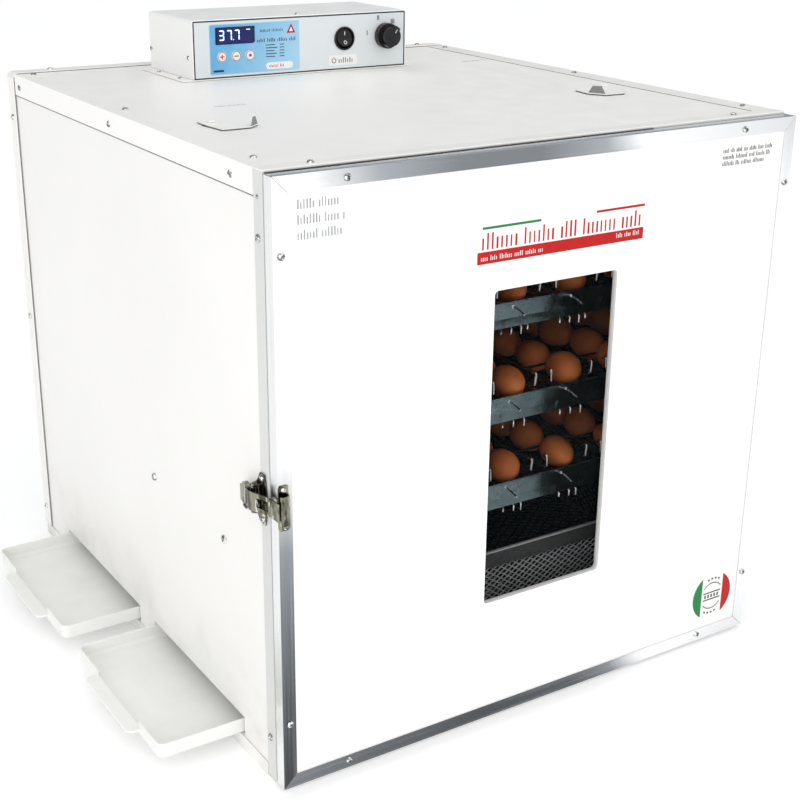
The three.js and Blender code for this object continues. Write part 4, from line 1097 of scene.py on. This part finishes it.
def digit(bm, x, z, w, h, shown, at, top):
    t = 1.35
    bars = {
        "a": (x + t * 0.6, x + w - t * 0.6, z + h - t, z + h),
        "g": (x + t * 0.6, x + w - t * 0.6, z + h / 2 - t / 2, z + h / 2 + t / 2),
        "d": (x + t * 0.6, x + w - t * 0.6, z, z + t),
        "f": (x, x + t, z + h / 2 + 0.3, z + h - 0.4),
        "b": (x + w - t, x + w, z + h / 2 + 0.3, z + h - 0.4),
        "e": (x, x + t, z + 0.4, z + h / 2 - 0.3),
        "c": (x + w - t, x + w, z + 0.4, z + h / 2 - 0.3),
    }
    for name in SEGMENTS[shown]:
        a0, a1, b0, b1 = bars[name]
        slab(bm, rounded(a0, a1, b0, b1, 0.6, 2), at, "-y", 0.0, top)


def display_figures():
    bm = bmesh.new()
    at = (0, 149.1, 0)
    slab(bm, rounded(-112.8, -65.4, 634.2, 651.2, 0.8), at, "-y", -0.1, 0.45)
    piece("display_window", bm, "navy", "cabinet", smooth=0)
    bm = bmesh.new()
    at = (0, 148.65, 0)
    for n, figure in enumerate("377"):
        digit(bm, -110.5 + n * 9.7, 637.4, 6.6, 11.4, figure, at, 0.18)
    slab(bm, rounded(-92.7, -91.7, 637.4, 638.5, 0.4, 2), at, "-y", 0.0, 0.18)
    slab(bm, rounded(-76, -71, 648.2, 649.0, 0.3, 2), at, "-y", 0.0, 0.18)
    return piece("display_figures", bm, "lit", "cabinet", smooth=0)


def key_marks():
    for key, x in KEYS.items():
        bm = bmesh.new()
        place = (x, 148.7, KEY_Z)
        ring_slab(bm, 4.8, 5.35, place, "-y", -0.05, 0.16, 36, 0)
        if key == "plus":
            cross = [(0.5, 0.5), (0.5, 2.8), (-0.5, 2.8), (-0.5, 0.5), (-2.8, 0.5), (-2.8, -0.5),
                     (-0.5, -0.5), (-0.5, -2.8), (0.5, -2.8), (0.5, -0.5), (2.8, -0.5), (2.8, 0.5)]
            slab(bm, cross, place, "-y", -0.05, 0.18, 0)
        elif key == "minus":
            slab(bm, rounded(-2.8, 2.8, -0.5, 0.5, 0.2), place, "-y", -0.05, 0.18, 0)
        else:
            lathe(bm, [(1.7, -0.05), (1.7, 0.14), (1.4, 0.18)], place, "-y", 20, 0)
        look = {"plus": "red", "minus": "ink", "mode": "purple"}[key]
        piece("mark_" + key, bm, look, "button_" + key, smooth=0)


def rocker_marks():
    """The usual line and circle of a power switch, moulded pale on the rocker's two faces."""
    bm = bmesh.new()
    tilt = math.radians(9.6)
    for half in (1, -1):
        slope = math.atan2(2.2, 13.0) * half
        base = Vector((0, -4.0 - 2.2 * 5.2 / 13.0, 5.2 * half))
        turned = Matrix.Rotation(-tilt, 4, "X") @ Matrix.Translation(base) @ Matrix.Rotation(slope, 4, "X")
        at = Matrix.Translation((53.7, 152.5, 631.6)) @ turned
        made = bmesh.new()
        if half > 0:
            slab(made, rounded(-0.4, 0.4, -2.2, 2.2, 0.2, 2), (0, 0, 0), "-y", -0.15, 0.12)
        else:
            ring_slab(made, 1.5, 2.2, (0, 0, 0), "-y", -0.15, 0.12, 24)
        made.transform(at)
        scratch = bpy.data.meshes.new("scratch")
        made.to_mesh(scratch)
        made.free()
        bm.from_mesh(scratch)
        bpy.data.meshes.remove(scratch)
    return piece("rocker_marks", bm, "paper", "switch_rocker", smooth=30)


def knob_mark():
    """Pale pointer line on the end of the selector's grip."""
    bm = bmesh.new()
    at = Matrix.Translation((110.5, 131.0, 632.3)) @ Matrix.Rotation(math.radians(36), 4, "Y")
    slab(bm, rounded(-0.55, 0.55, 5.2, 10.2, 0.4, 2), (0, 0, 0), "-y", -0.1, 0.5)
    bm.transform(at)
    return piece("knob_mark", bm, "pale", "selector_knob", smooth=0)


def panel_marks():
    bm = bmesh.new()
    at = (0, FRONT_FACE, 0)
    for x, z, count in ((85.5, 636.5, 1), (101, 653.4, 2), (121.5, 648.4, 3)):
        for i in range(count):
            a = x + (i - (count - 1) / 2) * 1.9
            slab(bm, rounded(a - 0.5, a + 0.5, z - 2.7, z + 2.7, 0.15, 2), at, "-y", -0.02, 0.16, 0)
    slab(bm, rounded(33, 71, 601, 612.5, 0.8), at, "-y", -0.02, 0.14, 1)
    # a plain power mark: a broken ring with a line through the gap
    place = (39.5, FRONT_FACE, 606.5)
    ring_slab(bm, 2.3, 3.2, place, "-y", 0.1, 0.2, 24, 0, 125, 290)
    slab(bm, rounded(-0.45, 0.45, 0.8, 4.0, 0.15, 2), place, "-y", 0.1, 0.2, 0)
    strokes(bm, 46, 67, 606.6, 6.0, 3.0, 0, at, 0.36)
    return piece("panel_marks", bm, ["ink", "paper"], "cabinet", smooth=0)


control_label()
front_shadow()
display_figures()
key_marks()
rocker_marks()
knob_mark()
panel_marks()

# ---------------------------------------------------------------- floor and end

bpy.ops.mesh.primitive_plane_add(size=30, location=(0, 0, 0))
floor = bpy.context.object
floor.name = "floor"
ground = Surface("pale_floor", (0.93, 0.93, 0.93), (0.90, 0.90, 0.90), 0.7).colour(2.0).gloss(8)
ground.bump(60, depth=0.0001, strength=0.1)
ground.shader.inputs["Emission Color"].default_value = (1, 1, 1, 1)
ground.shader.inputs["Emission Strength"].default_value = 0.16
floor.data.materials.append(ground.done())
